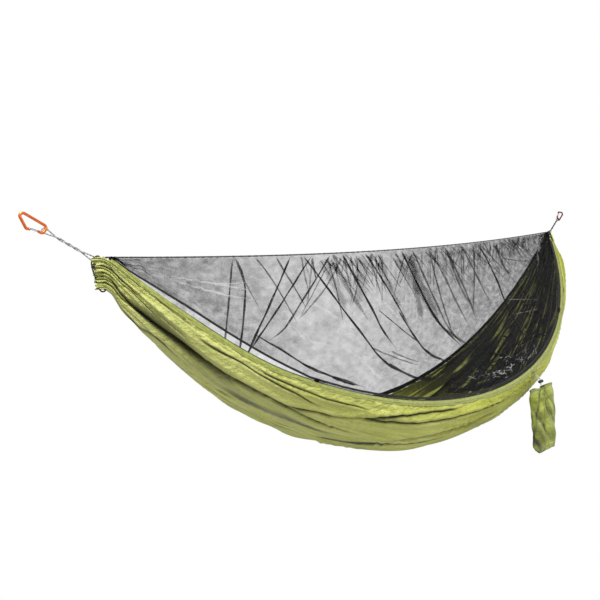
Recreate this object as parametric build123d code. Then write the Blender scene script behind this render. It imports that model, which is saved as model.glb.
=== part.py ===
from build123d import *
import math
import os

# Camping hammock with a sewn-in mosquito net, hung between two carabiners.
# Millimetres. The row frame has its origin at the left carabiner's anchor point,
# +X towards the right anchor, +Y towards the far side of the hammock, +Z up.
# Most shapes are worked out in the hammock's own frame, which has its origin at the
# middle of the straight line between the two gathered ends.

# Suspension
END_X = 1365.0  # half the distance between the cord loops at the two gathered ends
END_Z = -4.0
LEFT_RISE = 36.0  # degrees above the horizon of the left suspension
RIGHT_RISE = 31.5
LOOP_REACH = 157.0  # from the end cord to the carabiner's narrow bow
ANCHOR_REACH = 71.0  # from the narrow bow to the anchor's bearing point
LOOP_CORD = 4.6
LOOP_TURN = 7.0
END_CORD = 5.0

# Hammock body
HALF_SPAN = 1350.0
RIM_DEPTH = 764.5  # of each rim below the end-to-end line, in the rim's own plane
RIM_TILT = 24.85  # degrees between each rim's plane and the vertical
RIM_START = 17.0
BELLY_DEPTH = 782.0
BELLY_END = 96.0
BODY_END_X = 1325.0
BODY_WALL = 4.0
HEM_RADIUS = 6.0

# Net and ridge
RIDGE_SAG = 41.5
RIDGE_CORD = 3.0
RIDGE_TAPE_RADIUS = 4.5
NET_WALL = 2.0
NET_OPEN_LIFT = 30.0  # how far the unzipped edge of the net stands off the rim

# Zip, as offsets from the rim line in the rim's plane, plus downwards
TAPE_WIDTH = 11.0
TAPE_WALL = 1.2
COIL_WIDTH = 2.2
COIL_WALL = 2.4
COIL_GAP = 1.1
ZIP_MIDDLE = -15.25
ZIP_END_X = 1305.0
SLIDER_ANGLES = (-30.4, 34.2)  # round the rim's centre, from straight down
SLIDER_LENGTH = 14.0
SLIDER_WIDTH = 11.6
SLIDER_TOP = 5.0
PULL_PIVOT = 7.6

# Stuff sack
SACK_MOUTH = (331.0, -346.0, -746.0)
SACK_TILT = 4.5  # degrees, bottom towards the hammock
SACK_LENGTH = 268.0
TAB_PIVOT = (335.0, -327.0, -696.0)
SACK_LOOP_REACH = 22.0
SACK_LOOP_TURN = 3.6
SACK_LOOP_LEAN = 45.0  # degrees, the small loop's lower end away from the hammock
DRAWCORD_REACH = 26.0
LOCK_TRAVEL = 3.0
LOCK_CORDS_X = -3.6  # the two cords' middle, from the middle of the cord lock

RIM_RADIUS = (HALF_SPAN**2 + RIM_DEPTH**2) / (2 * RIM_DEPTH)
RIM_CENTRE = RIM_START - (RIM_RADIUS - RIM_DEPTH)
SIN_TILT = math.sin(math.radians(RIM_TILT))
COS_TILT = math.cos(math.radians(RIM_TILT))


def direction(degrees):
    return Vector(math.cos(math.radians(degrees)), 0, math.sin(math.radians(degrees)))


# The hammock frame's origin, seen from the left anchor
REACH = LOOP_REACH + ANCHOR_REACH
SHIFT = Vector(END_X, 0, -END_Z) + Vector(direction(LEFT_RISE).X, 0, -direction(LEFT_RISE).Z) * REACH


def save(name, *shapes):
    """Writes one sub-part, moved from the hammock frame to the row frame."""
    solids = [s for shape in shapes for s in shape.solids()]
    moved = [s.moved(Location(SHIFT)) for s in solids]
    whole = moved[0] if len(moved) == 1 else Compound(moved)
    export_step(whole, f"parts/{name}.step")


def tube(path, radius):
    start = Plane(origin=path @ 0, z_dir=path % 0)
    return sweep(start * Circle(radius), path=path)


def loop_ring(plane, length, turn, radius):
    """A closed loop of cord: two straight legs along the plane's X and a half turn at each end."""
    path = Wire(
        [
            Line((0, turn), (length, turn)).edge(),
            ThreePointArc((length, turn), (length + turn, 0), (length, -turn)).edge(),
            Line((length, -turn), (0, -turn)).edge(),
            ThreePointArc((0, -turn), (-turn, 0), (0, turn)).edge(),
        ]
    )
    start = Plane(origin=(0, turn, 0), z_dir=(1, 0, 0))
    return plane * sweep(start * Circle(radius), path=path)


# ---------------------------------------------------------------- rims


def rim_depth(x, offset):
    """Depth of a line along the rim, in the rim's plane, below the end-to-end line."""
    return RIM_CENTRE + math.sqrt((RIM_RADIUS + offset) ** 2 - x**2)


def rim_plane(side):
    """Plane of a rim: local x is the hammock's length, local y points up towards the ridge."""
    return Plane(origin=(0, 0, 0), x_dir=(1, 0, 0), z_dir=(0, -COS_TILT, -side * SIN_TILT))


def rim_arc_points(offset, x_from, x_to):
    ends = [math.asin(x / (RIM_RADIUS + offset)) for x in (x_from, x_to)]
    angles = [ends[0], sum(ends) / 2, ends[1]]
    radius = RIM_RADIUS + offset
    return [(radius * math.sin(a), -RIM_CENTRE - radius * math.cos(a)) for a in angles]


def rim_strip(side, inner, outer, wall, x_from, x_to):
    """A flat strip that follows the rim, from one offset to another."""
    low = rim_arc_points(outer, x_from, x_to)
    high = rim_arc_points(inner, x_from, x_to)
    outline = [ThreePointArc(*low), Line(low[2], high[2]), ThreePointArc(*high[::-1]), Line(high[0], low[0])]
    return rim_plane(side) * extrude(make_face(outline), wall / 2, both=True)


def rim_tube(side, offset, radius, x_from, x_to):
    arc = rim_plane(side) * ThreePointArc(*rim_arc_points(offset, x_from, x_to))
    return tube(arc, radius)


def rim_frame(angle):
    """Plane at the near zip: origin on the zip's middle, x along the zip, z out of the net."""
    radius = RIM_RADIUS + ZIP_MIDDLE
    turn = math.radians(angle)
    local = Plane(
        origin=(radius * math.sin(turn), -RIM_CENTRE - radius * math.cos(turn), 0),
        x_dir=(math.cos(turn), math.sin(turn), 0),
        z_dir=(0, 0, 1),
    )
    return rim_plane(-1) * local


# ---------------------------------------------------------------- hammock body


def belly(x):
    """Depth of the body's lowest line under the end-to-end line. It is deepest just left of the middle."""
    t = x / HALF_SPAN
    t = min(1.0, abs(t + 0.03 * (1 - t * t)))
    return BELLY_DEPTH * (1 - t**2.04) ** 0.92 + BELLY_END


def body_section(x):
    rim = rim_depth(x, HEM_RADIUS * 2 + 1)
    side, top = rim * SIN_TILT, -rim * COS_TILT
    drop = belly(x) + top
    curves = []
    for wall in (0.0, BODY_WALL):
        points = []
        for step in range(9):
            a = math.pi * step / 8
            across = math.copysign(abs(math.cos(a)) ** (2 / 2.2), math.cos(a))
            down = math.sin(a) ** (2 / 2.2)
            points.append((x, (wall - side) * across, top - (drop - wall) * down))
        curves.append(Spline(*points))
    outer, inner = curves
    ends = [Line(outer @ 1, inner @ 1), Line(inner @ 0, outer @ 0)]
    return make_face([outer, ends[0], inner, ends[1]])


def hammock_body():
    stations = (-1, -0.95, -0.86, -0.72, -0.52, -0.27, 0, 0.27, 0.52, 0.72, 0.86, 0.95, 1)
    return loft([body_section(BODY_END_X * s) for s in stations])


def oval_section(x, middle, half_height, half_width):
    plane = Plane(origin=(x, 0, middle), x_dir=(0, 1, 0), z_dir=(1, 0, 0))
    return plane * Ellipse(half_width, half_height)


def end_sleeve(side):
    """The gathered, folded end of the cloth, with the channel that the end cord runs through."""
    sections = [(1326, -69, 54, 32), (1338, -56, 46, 24), (1350, -52, 40, 16), (1360, -54, 36, 14)]
    body = loft([oval_section(side * x, *rest) for x, *rest in sections])
    channel = Location((side * 1345, 0, -60)) * Cylinder(END_CORD / 2 + 0.7, 140)
    return body - channel


def end_cord(side):
    """Closed cord through the end channel, gathered to the point where the suspension loop pulls."""
    points = [(1345, 4), (1345, -104), (1361, -104), (1374, -30), (END_X + 1.2, END_Z + 2.0)]
    corners = [(side * x, 0, z) for x, z in points]
    path = FilletPolyline(*corners, radius=[4.0, 5.0, 6.0, 12.0, 5.0], close=True)
    whole = Wire(path.edges())
    start = Plane(origin=whole @ 0, z_dir=whole % 0)
    return sweep(start * Circle(END_CORD / 2), path=whole)


# ---------------------------------------------------------------- ridge and nets


def ridge_height(x):
    return -RIDGE_SAG * (1 - (x / HALF_SPAN) ** 2)


def ridge_arc(x_end):
    return ThreePointArc(
        (-x_end, 0, ridge_height(x_end)), (0, 0, ridge_height(0)), (x_end, 0, ridge_height(x_end))
    )


def ridge_tape():
    arc = ridge_arc(1312)
    return tube(arc, RIDGE_TAPE_RADIUS) - tube(arc, RIDGE_CORD / 2 + 0.4)


def ridge_knot(side):
    return Location((side * 1334.8, 0, -0.5)) * scale(Sphere(3.6), (1.05, 1, 1.15))


def open_lift(x, x_open):
    """Stand-off of the net's loose edge, from nothing at the slider to nothing at the left end."""
    if x >= x_open:
        return 0.0
    share = (x - x_open) / (-ZIP_END_X - x_open)
    return 4 * NET_OPEN_LIFT * share * (1 - share)


def net_section(x, side, x_open):
    edge = ZIP_MIDDLE - COIL_GAP / 2 - COIL_WIDTH - TAPE_WIDTH - 1.5
    depth = rim_depth(x, edge) - (open_lift(x, x_open) if side < 0 else 0)
    ridge = Vector(x, 0, ridge_height(x))
    bottom = Vector(x, side * depth * SIN_TILT, -depth * COS_TILT)
    along = (bottom - ridge).normalized()
    across = along.cross(Vector(1, 0, 0)) * (NET_WALL / 2)
    top = ridge + along * (RIDGE_TAPE_RADIUS + 1.5)
    corners = [top + across, bottom + across, bottom - across, top - across]
    return make_face(Polyline(*corners, close=True))


def net(side, x_open):
    stations = [-1296 + 2592 * i / 16 for i in range(17)]
    return loft([net_section(x, side, x_open) for x in stations], ruled=True)


def loose_strip(x_open, inner, outer, wall):
    """The part of the net's tape or coil that is unzipped and stands off the rim."""
    curves = []
    for offset in (outer, inner):
        points = []
        for step in range(5):
            x = x_open + (-ZIP_END_X - x_open) * step / 4
            points.append((x, -rim_depth(x, offset) + open_lift(x, x_open)))
        curves.append(Spline(*points))
    low, high = curves
    outline = make_face([low, Line(low @ 1, high @ 1), high, Line(high @ 0, low @ 0)])
    return rim_plane(-1) * extrude(outline, wall / 2, both=True)


# ---------------------------------------------------------------- zip sliders


def box(x, y, z, dx, dy, dz):
    return Location((x, y, z)) * Box(dx, dy, dz)


def slider():
    """Body of a zip slider round the coil, with a divider between the coil halves and a bridge."""
    low = -4.0
    height = SLIDER_TOP - low
    block = box(0, 0, (SLIDER_TOP + low) / 2, SLIDER_LENGTH, SLIDER_WIDTH, height)
    block = fillet(block.edges().filter_by(Axis.Z), 2.4)
    block -= box(0, 0, 0, SLIDER_LENGTH + 2, 7.2, 3.4)
    block -= box(0, 0, 0, SLIDER_LENGTH + 2, SLIDER_WIDTH + 2, 2.0)
    divider = box(0, 0, 0, SLIDER_LENGTH - 4, 0.5, 4.0)
    bridge = box(0, 0, SLIDER_TOP + 2.4, 9.0, 2.4, 5.2)
    bridge = fillet(bridge.edges().filter_by(Axis.Y), 1.6)
    window = box(0, 0, PULL_PIVOT, 4.0, 6, 2.8)
    return block + divider + (bridge - window)


def pull(side):
    """Pull tab: a pin through the bridge's window, two arms and a flat tab that lies downhill."""
    pin = Location((0, 0, PULL_PIVOT), (90, 0, 0)) * Cylinder(0.9, 9.0)
    arms = [box(side * 4.2, y, PULL_PIVOT, 10.2, 1.6, 1.6) for y in (-3.7, 3.7)]
    tab = box(side * 20.0, 0, PULL_PIVOT, 22.0, 9.0, 1.6)
    tab = fillet(tab.edges().filter_by(Axis.Z), 2.0)
    tab -= Location((side * 27.5, 0, PULL_PIVOT)) * Cylinder(1.5, 4)
    return pin + arms[0] + arms[1] + tab


# ---------------------------------------------------------------- suspension


def anchor_chain(side, rise):
    """Start and direction of one suspension, which pulls up and out from the gathered end."""
    out = direction(rise)
    along = Vector(side * out.X, 0, out.Z)
    return Vector(side * END_X, 0, END_Z), along


def suspension_loop(side, rise):
    start, along = anchor_chain(side, rise)
    plane = Plane(origin=start, x_dir=along, z_dir=along.cross(Vector(0, 1, 0)))
    return loop_ring(plane, LOOP_REACH, LOOP_TURN, LOOP_CORD / 2)


BAR_RADIUS = 4.2
GATE_PIVOT = (12.0, -11.8)
GATE_WIRE = 1.15
GATE_HALF_WIDTH = 5.6


def carabiner_plane(side, rise):
    """Local x runs from the narrow bow to the wide one, local y towards the spine."""
    start, along = anchor_chain(side, rise)
    spine = Vector(along.Z, 0, -along.X)
    return Plane(origin=start + along * LOOP_REACH, x_dir=along, z_dir=along.cross(spine))


def carabiner_body(plane):
    corners = [GATE_PIVOT, (0, -11.8), (0, 14.2), (75.8, 14.2), (78, 1), (45, -22.6), (37, -19.6)]
    path = FilletPolyline(*corners, radius=[7.5, 9.5, 8.5, 9.5, 3.8])
    bar = tube(Wire(path.edges()), BAR_RADIUS)
    bar += Location((GATE_PIVOT[0], GATE_PIVOT[1], 0)) * Sphere(BAR_RADIUS)
    bar += Location((37, -19.6, 0)) * Sphere(BAR_RADIUS)
    bar -= Location((GATE_PIVOT[0], GATE_PIVOT[1], 0)) * Cylinder(GATE_WIRE + 0.2, 20)
    # flats for the gate's two wire eyes, and the slot in the nose that takes the gate's tip
    for z in (-1, 1):
        bar -= box(GATE_PIVOT[0] + 2.5, GATE_PIVOT[1], z * 5.6, 12.6, 12, 4.8)
    bar -= box(35.6, -16.5, 0, 5.2, 7.0, 20)
    return plane * bar


def carabiner_gate(plane):
    """Sprung wire gate: one bent wire with both ends turned into the bar's cross hole."""
    x, y = GATE_PIVOT
    tip = (35.0, -16.6)
    near, far = GATE_HALF_WIDTH, GATE_HALF_WIDTH - 1.4
    points = [(x, y, 1.2), (x, y, near), (*tip, far), (*tip, -far), (x, y, -near), (x, y, -1.2)]
    path = FilletPolyline(*points, radius=[1.8, 2.6, 2.6, 1.8])
    return plane * tube(Wire(path.edges()), GATE_WIRE)


# ---------------------------------------------------------------- stuff sack


def sack_place():
    """Origin at the middle of the sack's mouth, x along the hammock, z up the sack."""
    return Location(SACK_MOUTH, (SACK_TILT, 0, 0))


def sack():
    """The empty sack hangs flat. Each section is its height, middle, half width and half depth."""
    sections = [
        (-10, 0, 88, 12),
        (-34, -3, 92, 14),
        (-120, -14, 92, 14),
        (-210, -28, 88, 14),
        (-250, -35, 84, 11),
        (-SACK_LENGTH + 2, -38, 78, 6),
    ]
    faces = [Location((x, 0, z)) * Rectangle(2 * half, 2 * deep) for z, x, half, deep in sections]
    rounded = [fillet(f.vertices(), f.bounding_box().size.Y * 0.42) for f in faces]
    return sack_place() * loft(rounded)


def sack_hem():
    ring = fillet(Rectangle(176, 20).vertices(), 8)
    return sack_place() * (Location((0, 0, -9)) * extrude(ring, 8))


def sack_bottom_seam():
    """Bound seam along the bottom edge."""
    strip = box(-38, 0, -SACK_LENGTH - 2, 146, 7, 5)
    return sack_place() * fillet(strip.edges().filter_by(Axis.X), 1.5)


def sack_tab():
    """Webbing tab sewn under the rim, with the eye that the sack's loop hangs in."""
    x, y, z = TAB_PIVOT
    plate = box(x, y, z + 7.4, 12, 2, 18)
    eye = box(x, y, z + 3.8, 5.6, 6, 4.8)
    return plate - eye


def sack_loop():
    """Small closed loop between the tab's eye and the drawcord."""
    lean = math.radians(SACK_LOOP_LEAN)
    down = Vector(0, -math.sin(lean), -math.cos(lean))
    plane = Plane(origin=TAB_PIVOT, x_dir=down, z_dir=(1, 0, 0))
    return loop_ring(plane, SACK_LOOP_REACH, SACK_LOOP_TURN, 1.3)


def drawcord_top():
    """Where the drawcord hangs on the small loop."""
    x, y, z = TAB_PIVOT
    reach = SACK_LOOP_REACH + SACK_LOOP_TURN
    lean = math.radians(SACK_LOOP_LEAN)
    return (x, y - reach * math.sin(lean), z - reach * math.cos(lean))


def drawcord():
    """The sack's closing cord, a loop along the hammock's length that hangs on the small loop."""
    plane = Plane(origin=drawcord_top(), x_dir=(0, 0, -1), z_dir=(0, 1, 0))
    return loop_ring(plane, DRAWCORD_REACH, SACK_LOOP_TURN, 1.2)


def lock_place():
    x, y, z = drawcord_top()
    return Location((x - LOCK_CORDS_X, y, z - DRAWCORD_REACH / 2))


def lock_barrel():
    """Barrel of the cord lock: blind bore for the button and a slot across it for the two cords."""
    body = Rotation(0, 90, 0) * Cylinder(6.4, 24)
    body = fillet(body.edges(), 1.0)
    body -= Location((-1.5, 0, 0), (0, 90, 0)) * Cylinder(4.6, 24)
    return lock_place() * (body - box(LOCK_CORDS_X, 0, 0, 11.2, 3.4, 20))


def lock_button():
    """Plunger with a slot long enough for the cords over the whole travel."""
    body = Location((-6.2, 0, 0), (0, 90, 0)) * Cylinder(4.3, 19.6)
    slot = box(LOCK_CORDS_X - LOCK_TRAVEL / 2, 0, 0, 10.4 + LOCK_TRAVEL, 3.4, 20)
    return lock_place() * (body - slot)


def lock_spring():
    """Coil spring between the plunger's inner end and the barrel's closed end."""
    turns = Helix(pitch=1.5, height=6.0, radius=2.8)
    wire = sweep(Plane(origin=turns @ 0, z_dir=turns % 0) * Circle(0.3), path=turns)
    return lock_place() * (Location((4.0, 0, 0), (0, 90, 0)) * wire)


def main():
    os.makedirs("parts", exist_ok=True)
    sliders = [RIM_RADIUS * math.sin(math.radians(a)) for a in SLIDER_ANGLES]
    x_open = sliders[0] - SLIDER_LENGTH

    save("hammock_body", hammock_body())
    for side, name in ((-1, "near"), (1, "far")):
        save(f"rim_hem_{name}", rim_tube(side, HEM_RADIUS, HEM_RADIUS, -1318, 1318))
        save(f"net_{name}", net(side, x_open))
    net_edge = ZIP_MIDDLE - COIL_GAP / 2
    body_edge = ZIP_MIDDLE + COIL_GAP / 2
    coil_net = (net_edge - COIL_WIDTH, net_edge)
    coil_body = (body_edge, body_edge + COIL_WIDTH)
    tape_net = (coil_net[0] - 0.5 - TAPE_WIDTH, coil_net[0] - 0.5)
    tape_body = (coil_body[1] + 0.5, -1.0)
    for name, (inner, outer), wall in (("coil", coil_net, COIL_WALL), ("tape", tape_net, TAPE_WALL)):
        closed = rim_strip(-1, inner, outer, wall, x_open, ZIP_END_X)
        loose = loose_strip(x_open - 0.5, inner, outer, wall)
        save(f"zip_{name}_net", closed, loose)
    save("zip_coil_body", rim_strip(-1, *coil_body, COIL_WALL, -ZIP_END_X, ZIP_END_X))
    save("zip_tape_body", rim_strip(-1, *tape_body, TAPE_WALL, -ZIP_END_X, ZIP_END_X))
    save("net_seam_far", rim_strip(1, tape_net[0], -1.0, TAPE_WALL, -ZIP_END_X, ZIP_END_X))
    for name, angle, downhill in zip(("left", "right"), SLIDER_ANGLES, (1, -1)):
        save(f"zip_slider_{name}", rim_frame(angle) * slider())
        save(f"zip_pull_{name}", rim_frame(angle) * pull(downhill))

    save("ridge_tape", ridge_tape())
    save("ridge_cord", tube(ridge_arc(1330.5), RIDGE_CORD / 2))
    for side, name, rise in ((-1, "left", LEFT_RISE), (1, "right", RIGHT_RISE)):
        plane = carabiner_plane(side, rise)
        save(f"ridge_knot_{name}", ridge_knot(side))
        save(f"end_sleeve_{name}", end_sleeve(side))
        save(f"end_cord_{name}", end_cord(side))
        save(f"suspension_loop_{name}", suspension_loop(side, rise))
        save(f"carabiner_body_{name}", carabiner_body(plane))
        save(f"carabiner_gate_{name}", carabiner_gate(plane))

    save("stuff_sack", sack())
    save("sack_hem", sack_hem())
    save("sack_bottom_seam", sack_bottom_seam())
    save("sack_tab", sack_tab())
    save("sack_loop", sack_loop())
    save("sack_drawcord", drawcord())
    save("cord_lock_barrel", lock_barrel())
    save("cord_lock_button", lock_button())
    save("cord_lock_spring", lock_spring())


main()
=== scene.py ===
import math

import bpy
import numpy as np
from mathutils import Matrix, Vector


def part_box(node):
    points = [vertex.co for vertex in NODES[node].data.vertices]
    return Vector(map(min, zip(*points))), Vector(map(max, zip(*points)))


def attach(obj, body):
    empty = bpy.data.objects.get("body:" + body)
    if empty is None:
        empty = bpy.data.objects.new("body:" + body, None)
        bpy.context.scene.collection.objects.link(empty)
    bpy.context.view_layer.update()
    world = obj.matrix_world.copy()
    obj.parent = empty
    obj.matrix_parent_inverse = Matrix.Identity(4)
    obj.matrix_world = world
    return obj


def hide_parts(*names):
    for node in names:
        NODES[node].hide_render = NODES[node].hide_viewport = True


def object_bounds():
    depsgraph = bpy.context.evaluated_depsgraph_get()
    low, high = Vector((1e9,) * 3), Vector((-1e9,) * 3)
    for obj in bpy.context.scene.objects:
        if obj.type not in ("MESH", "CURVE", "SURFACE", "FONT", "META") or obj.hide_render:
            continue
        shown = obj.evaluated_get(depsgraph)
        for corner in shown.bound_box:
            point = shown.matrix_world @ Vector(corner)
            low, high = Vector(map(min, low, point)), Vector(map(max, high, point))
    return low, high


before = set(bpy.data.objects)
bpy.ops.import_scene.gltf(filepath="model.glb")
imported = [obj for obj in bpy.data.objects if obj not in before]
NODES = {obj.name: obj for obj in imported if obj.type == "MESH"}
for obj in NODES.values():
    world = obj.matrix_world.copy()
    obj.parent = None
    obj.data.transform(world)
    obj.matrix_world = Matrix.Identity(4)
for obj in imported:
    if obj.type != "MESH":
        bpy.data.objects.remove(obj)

CAD_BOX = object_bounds()

# The hammock's own frame, in metres: origin at the middle of the line between its two gathered
# ends. These sizes are the CAD source's, and ROW_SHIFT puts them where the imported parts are.
HALF_SPAN = 1.350
RIM_DEPTH = 0.7645
RIM_TILT = math.radians(24.85)
RIM_START = 0.017
RIM_RADIUS = (HALF_SPAN**2 + RIM_DEPTH**2) / (2 * RIM_DEPTH)
RIM_CENTRE = RIM_START - (RIM_RADIUS - RIM_DEPTH)
RIDGE_SAG = 0.0415
END_X = 1.365
END_Z = -0.004
LEFT_RISE = math.radians(36.0)
RIGHT_RISE = math.radians(31.5)
LOOP_REACH = 0.157
LOOP_TURN = 0.007
ZIP_MIDDLE = -0.01525
ZIP_OPEN_X = -0.811
ZIP_END_X = 1.305
ZIP_START_X = 1.318
COIL_PITCH = 0.0022
LOOP_THICK = 0.0046
GATHER_THICK = 0.005
RIDGE_THICK = 0.003
HEM_START_X = 1.318
HEM_END_X = 1.338
NET_OPEN_LIFT = 0.030
LEFT_PULL = 0.058

rim_low, rim_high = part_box("rim_hem_near")
ROW_SHIFT = np.array([(rim_low.x + rim_high.x) / 2, 0.0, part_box("ridge_cord")[0].z + RIDGE_SAG + 0.0015])


# ---------------------------------------------------------------- camera


CAMERA_PLACE = (-1.9688, -1.7084, -0.3612)  # in the hammock's own frame
CAMERA_TURN = (0.672, 0.0692, -0.1867)  # yaw, pitch and roll
CAMERA_LENS = 34.33


def make_camera():
    """The camera of the picture that the scene rebuilds."""
    yaw, pitch, roll = CAMERA_TURN
    forward = Vector((math.sin(yaw) * math.cos(pitch), math.cos(yaw) * math.cos(pitch), math.sin(pitch)))
    right = Vector((math.cos(yaw), -math.sin(yaw), 0))
    up = right.cross(forward)
    rolled_right = right * math.cos(roll) + up * math.sin(roll)
    rolled_up = up * math.cos(roll) - right * math.sin(roll)
    data = bpy.data.cameras.new("camera")
    data.sensor_width = 36
    data.lens = CAMERA_LENS
    camera = bpy.data.objects.new("camera", data)
    bpy.context.scene.collection.objects.link(camera)
    camera.matrix_world = Matrix((rolled_right, rolled_up, -forward)).transposed().to_4x4()
    camera.location = Vector(CAMERA_PLACE) + Vector(ROW_SHIFT)
    bpy.context.scene.camera = camera


make_camera()


# ---------------------------------------------------------------- curves of the hammock


def rim_depth(x, offset=0.0):
    """Depth of a line along the rim, in the rim's own plane; a larger offset is further down.
    Towards the left end the cloth is pulled up, and its rim meets the ridge before the gather."""
    line = RIM_CENTRE + np.sqrt((RIM_RADIUS + offset) ** 2 - x**2)
    base = RIM_CENTRE + np.sqrt(RIM_RADIUS**2 - x**2)
    pull = LEFT_PULL * ease(-x, 0.88, 1.30)
    raised, least = base - pull, 0.012
    raised = 0.5 * (raised + least + np.sqrt((raised - least) ** 2 + 0.0001))
    return np.where(x < -0.86, raised + (line - base) * (1 - 0.65 * ease(-x, 1.10, 1.30)), line)


def rim_points(side, x, offset, lift=0.0):
    """Points on one rim's plane; lift moves them out of the plane, away from the hammock."""
    depth = rim_depth(x, offset)
    y = side * (depth * math.sin(RIM_TILT) + lift * math.cos(RIM_TILT))
    z = -depth * math.cos(RIM_TILT) + lift * math.sin(RIM_TILT)
    return np.stack([x, y, z], -1)


def rim_stations(start, end, count):
    """Even steps along the rim's arc: x, and the length along it from the middle."""
    turn = np.linspace(math.asin(start / RIM_RADIUS), math.asin(end / RIM_RADIUS), count)
    return RIM_RADIUS * np.sin(turn), RIM_RADIUS * turn


def repeated(vector, count):
    """One direction for each of count points."""
    return np.array(vector) * np.ones((count, 1))


def rim_normal(side, count):
    """The direction out of a rim's plane, away from the hammock, for count points."""
    return repeated([0.0, side * math.cos(RIM_TILT), math.sin(RIM_TILT)], count)


def ridge_height(x):
    """Height of the ridge cord, which sags a little between its two knots."""
    return -RIDGE_SAG * (1 - (x / HALF_SPAN) ** 2)


def belly(x):
    """How far the lowest line of the body hangs below the line between the gathered ends."""
    t = x / HALF_SPAN
    t = np.minimum(1, np.abs(t + 0.03 * (1 - t * t)))
    return 0.782 * (1 - t**2.04) ** 0.92 + 0.096


def open_lift(x):
    """How far the unzipped edge of the near net stands above the rim."""
    share = np.clip((x - ZIP_OPEN_X) / (-ZIP_END_X - ZIP_OPEN_X), 0, 1)
    return 4 * NET_OPEN_LIFT * share * (1 - share)


def opened(side, x):
    """How far the unzipped edge moves up along the net's plane, as points."""
    return open_lift(x)[:, None] * np.array([0.0, -side * math.sin(RIM_TILT), math.cos(RIM_TILT)])


def ease(value, low, high):
    """A smooth step from 0 at low to 1 at high."""
    t = np.clip((value - low) / (high - low), 0, 1)
    return t * t * (3 - 2 * t)


def waves(u, v, count, along, across, seed):
    """Smooth uneven ripples: a sum of plane waves with lengths from the two ranges."""
    rng = np.random.default_rng(seed)
    total = 0.0
    for _ in range(count):
        length = rng.uniform(*along)
        width = rng.uniform(*across) * rng.choice([-1, 1])
        total = total + np.sin(2 * np.pi * (u / length + v / width) + rng.uniform(0, 2 * np.pi))
    return total / math.sqrt(count)


def unit(vectors):
    return vectors / np.maximum(np.linalg.norm(vectors, axis=-1, keepdims=True), 1e-12)


def along_lengths(path):
    """The length along a path at each of its points."""
    steps = np.linalg.norm(np.diff(path, axis=0), axis=1)
    return np.concatenate([[0], np.cumsum(steps)])


# ---------------------------------------------------------------- meshes


def grid_faces(rows, columns, wrap=False):
    i, j = np.meshgrid(np.arange(rows - 1), np.arange(columns - (not wrap)), indexing="ij")
    k = (j + 1) % columns
    faces = np.stack([i * columns + j, i * columns + k, (i + 1) * columns + k, (i + 1) * columns + j], -1)
    return faces.reshape(-1, 4)


def piece(name, points, faces, body, material, uv, values=None):
    """A smooth mesh piece, given in the hammock's frame, that rides on a body."""
    points = np.asarray(points, float).reshape(-1, 3) + ROW_SHIFT
    mesh = bpy.data.meshes.new(name)
    mesh.from_pydata(points.tolist(), [], [list(map(int, f)) for f in faces])
    corner = np.zeros(len(mesh.loops), np.int32)
    mesh.loops.foreach_get("vertex_index", corner)
    layer = mesh.uv_layers.new(name="cloth")
    layer.data.foreach_set("uv", np.asarray(uv, np.float32).reshape(-1, 2)[corner].ravel())
    for key, numbers in (values or {}).items():
        attribute = mesh.attributes.new(key, "FLOAT", "POINT")
        attribute.data.foreach_set("value", np.asarray(numbers, np.float32).ravel())
    mesh.polygons.foreach_set("use_smooth", np.ones(len(mesh.polygons), bool))
    mesh.materials.append(material)
    mesh.update()
    made = bpy.data.objects.new(name, mesh)
    bpy.context.scene.collection.objects.link(made)
    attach(made, body)
    return made


def rings(path, across, out, ring):
    """Surface points round a path. across and out are unit vectors, ring the offsets along them."""
    return path[:, None] + across[:, None] * ring[..., :1] + out[:, None] * ring[..., 1:]


def tube_mesh(points):
    """Faces of a closed tube of rings, with both ends capped."""
    rows, columns = points.shape[:2]
    faces = grid_faces(rows, columns, wrap=True).tolist()
    faces.append(list(range(columns)))
    faces.append(list(range((rows - 1) * columns, rows * columns))[::-1])
    return faces


def tube_uv(path, columns, width):
    u = np.repeat(along_lengths(path)[:, None], columns, 1)
    v = np.repeat(np.linspace(0, width, columns)[None], len(path), 0)
    return np.stack([u, v], -1)


def around(columns):
    """The angles of a ring's points, as one row."""
    return np.linspace(0, 2 * np.pi, columns, endpoint=False)[None]


def oval(columns, wide, thick):
    """Ring offsets of ovals. wide and thick are half widths: numbers, or arrays with a row for each ring."""
    angle = around(columns)
    return np.stack(np.broadcast_arrays(np.cos(angle) * wide, np.sin(angle) * thick), -1)


def tube(name, path, across, out, ring, body, material, girth, replaces=()):
    """A capped tube round a path, which stands for the CAD nodes named."""
    points = rings(path, across, out, ring)
    uv = tube_uv(path, points.shape[1], girth)
    made = piece(name, points, tube_mesh(points), body, material, uv)
    if replaces:
        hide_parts(*replaces)
    return made


def join_parts(parts):
    """One vertex list, face list and uv list out of several."""
    points, faces, uvs, start = [], [], [], 0
    for part_points, part_faces, part_uv in parts:
        part_points = np.asarray(part_points).reshape(-1, 3)
        points.append(part_points)
        faces += [[int(i) + start for i in f] for f in part_faces]
        uvs.append(np.asarray(part_uv).reshape(-1, 2))
        start += len(part_points)
    return np.concatenate(points), faces, np.concatenate(uvs)


# ---------------------------------------------------------------- materials


def rgb(red, green, blue):
    """Linear colour from 0-255 display values."""
    return tuple(((c / 255 + 0.055) / 1.055) ** 2.4 if c > 10 else c / 255 / 12.92 for c in (red, green, blue))


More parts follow.
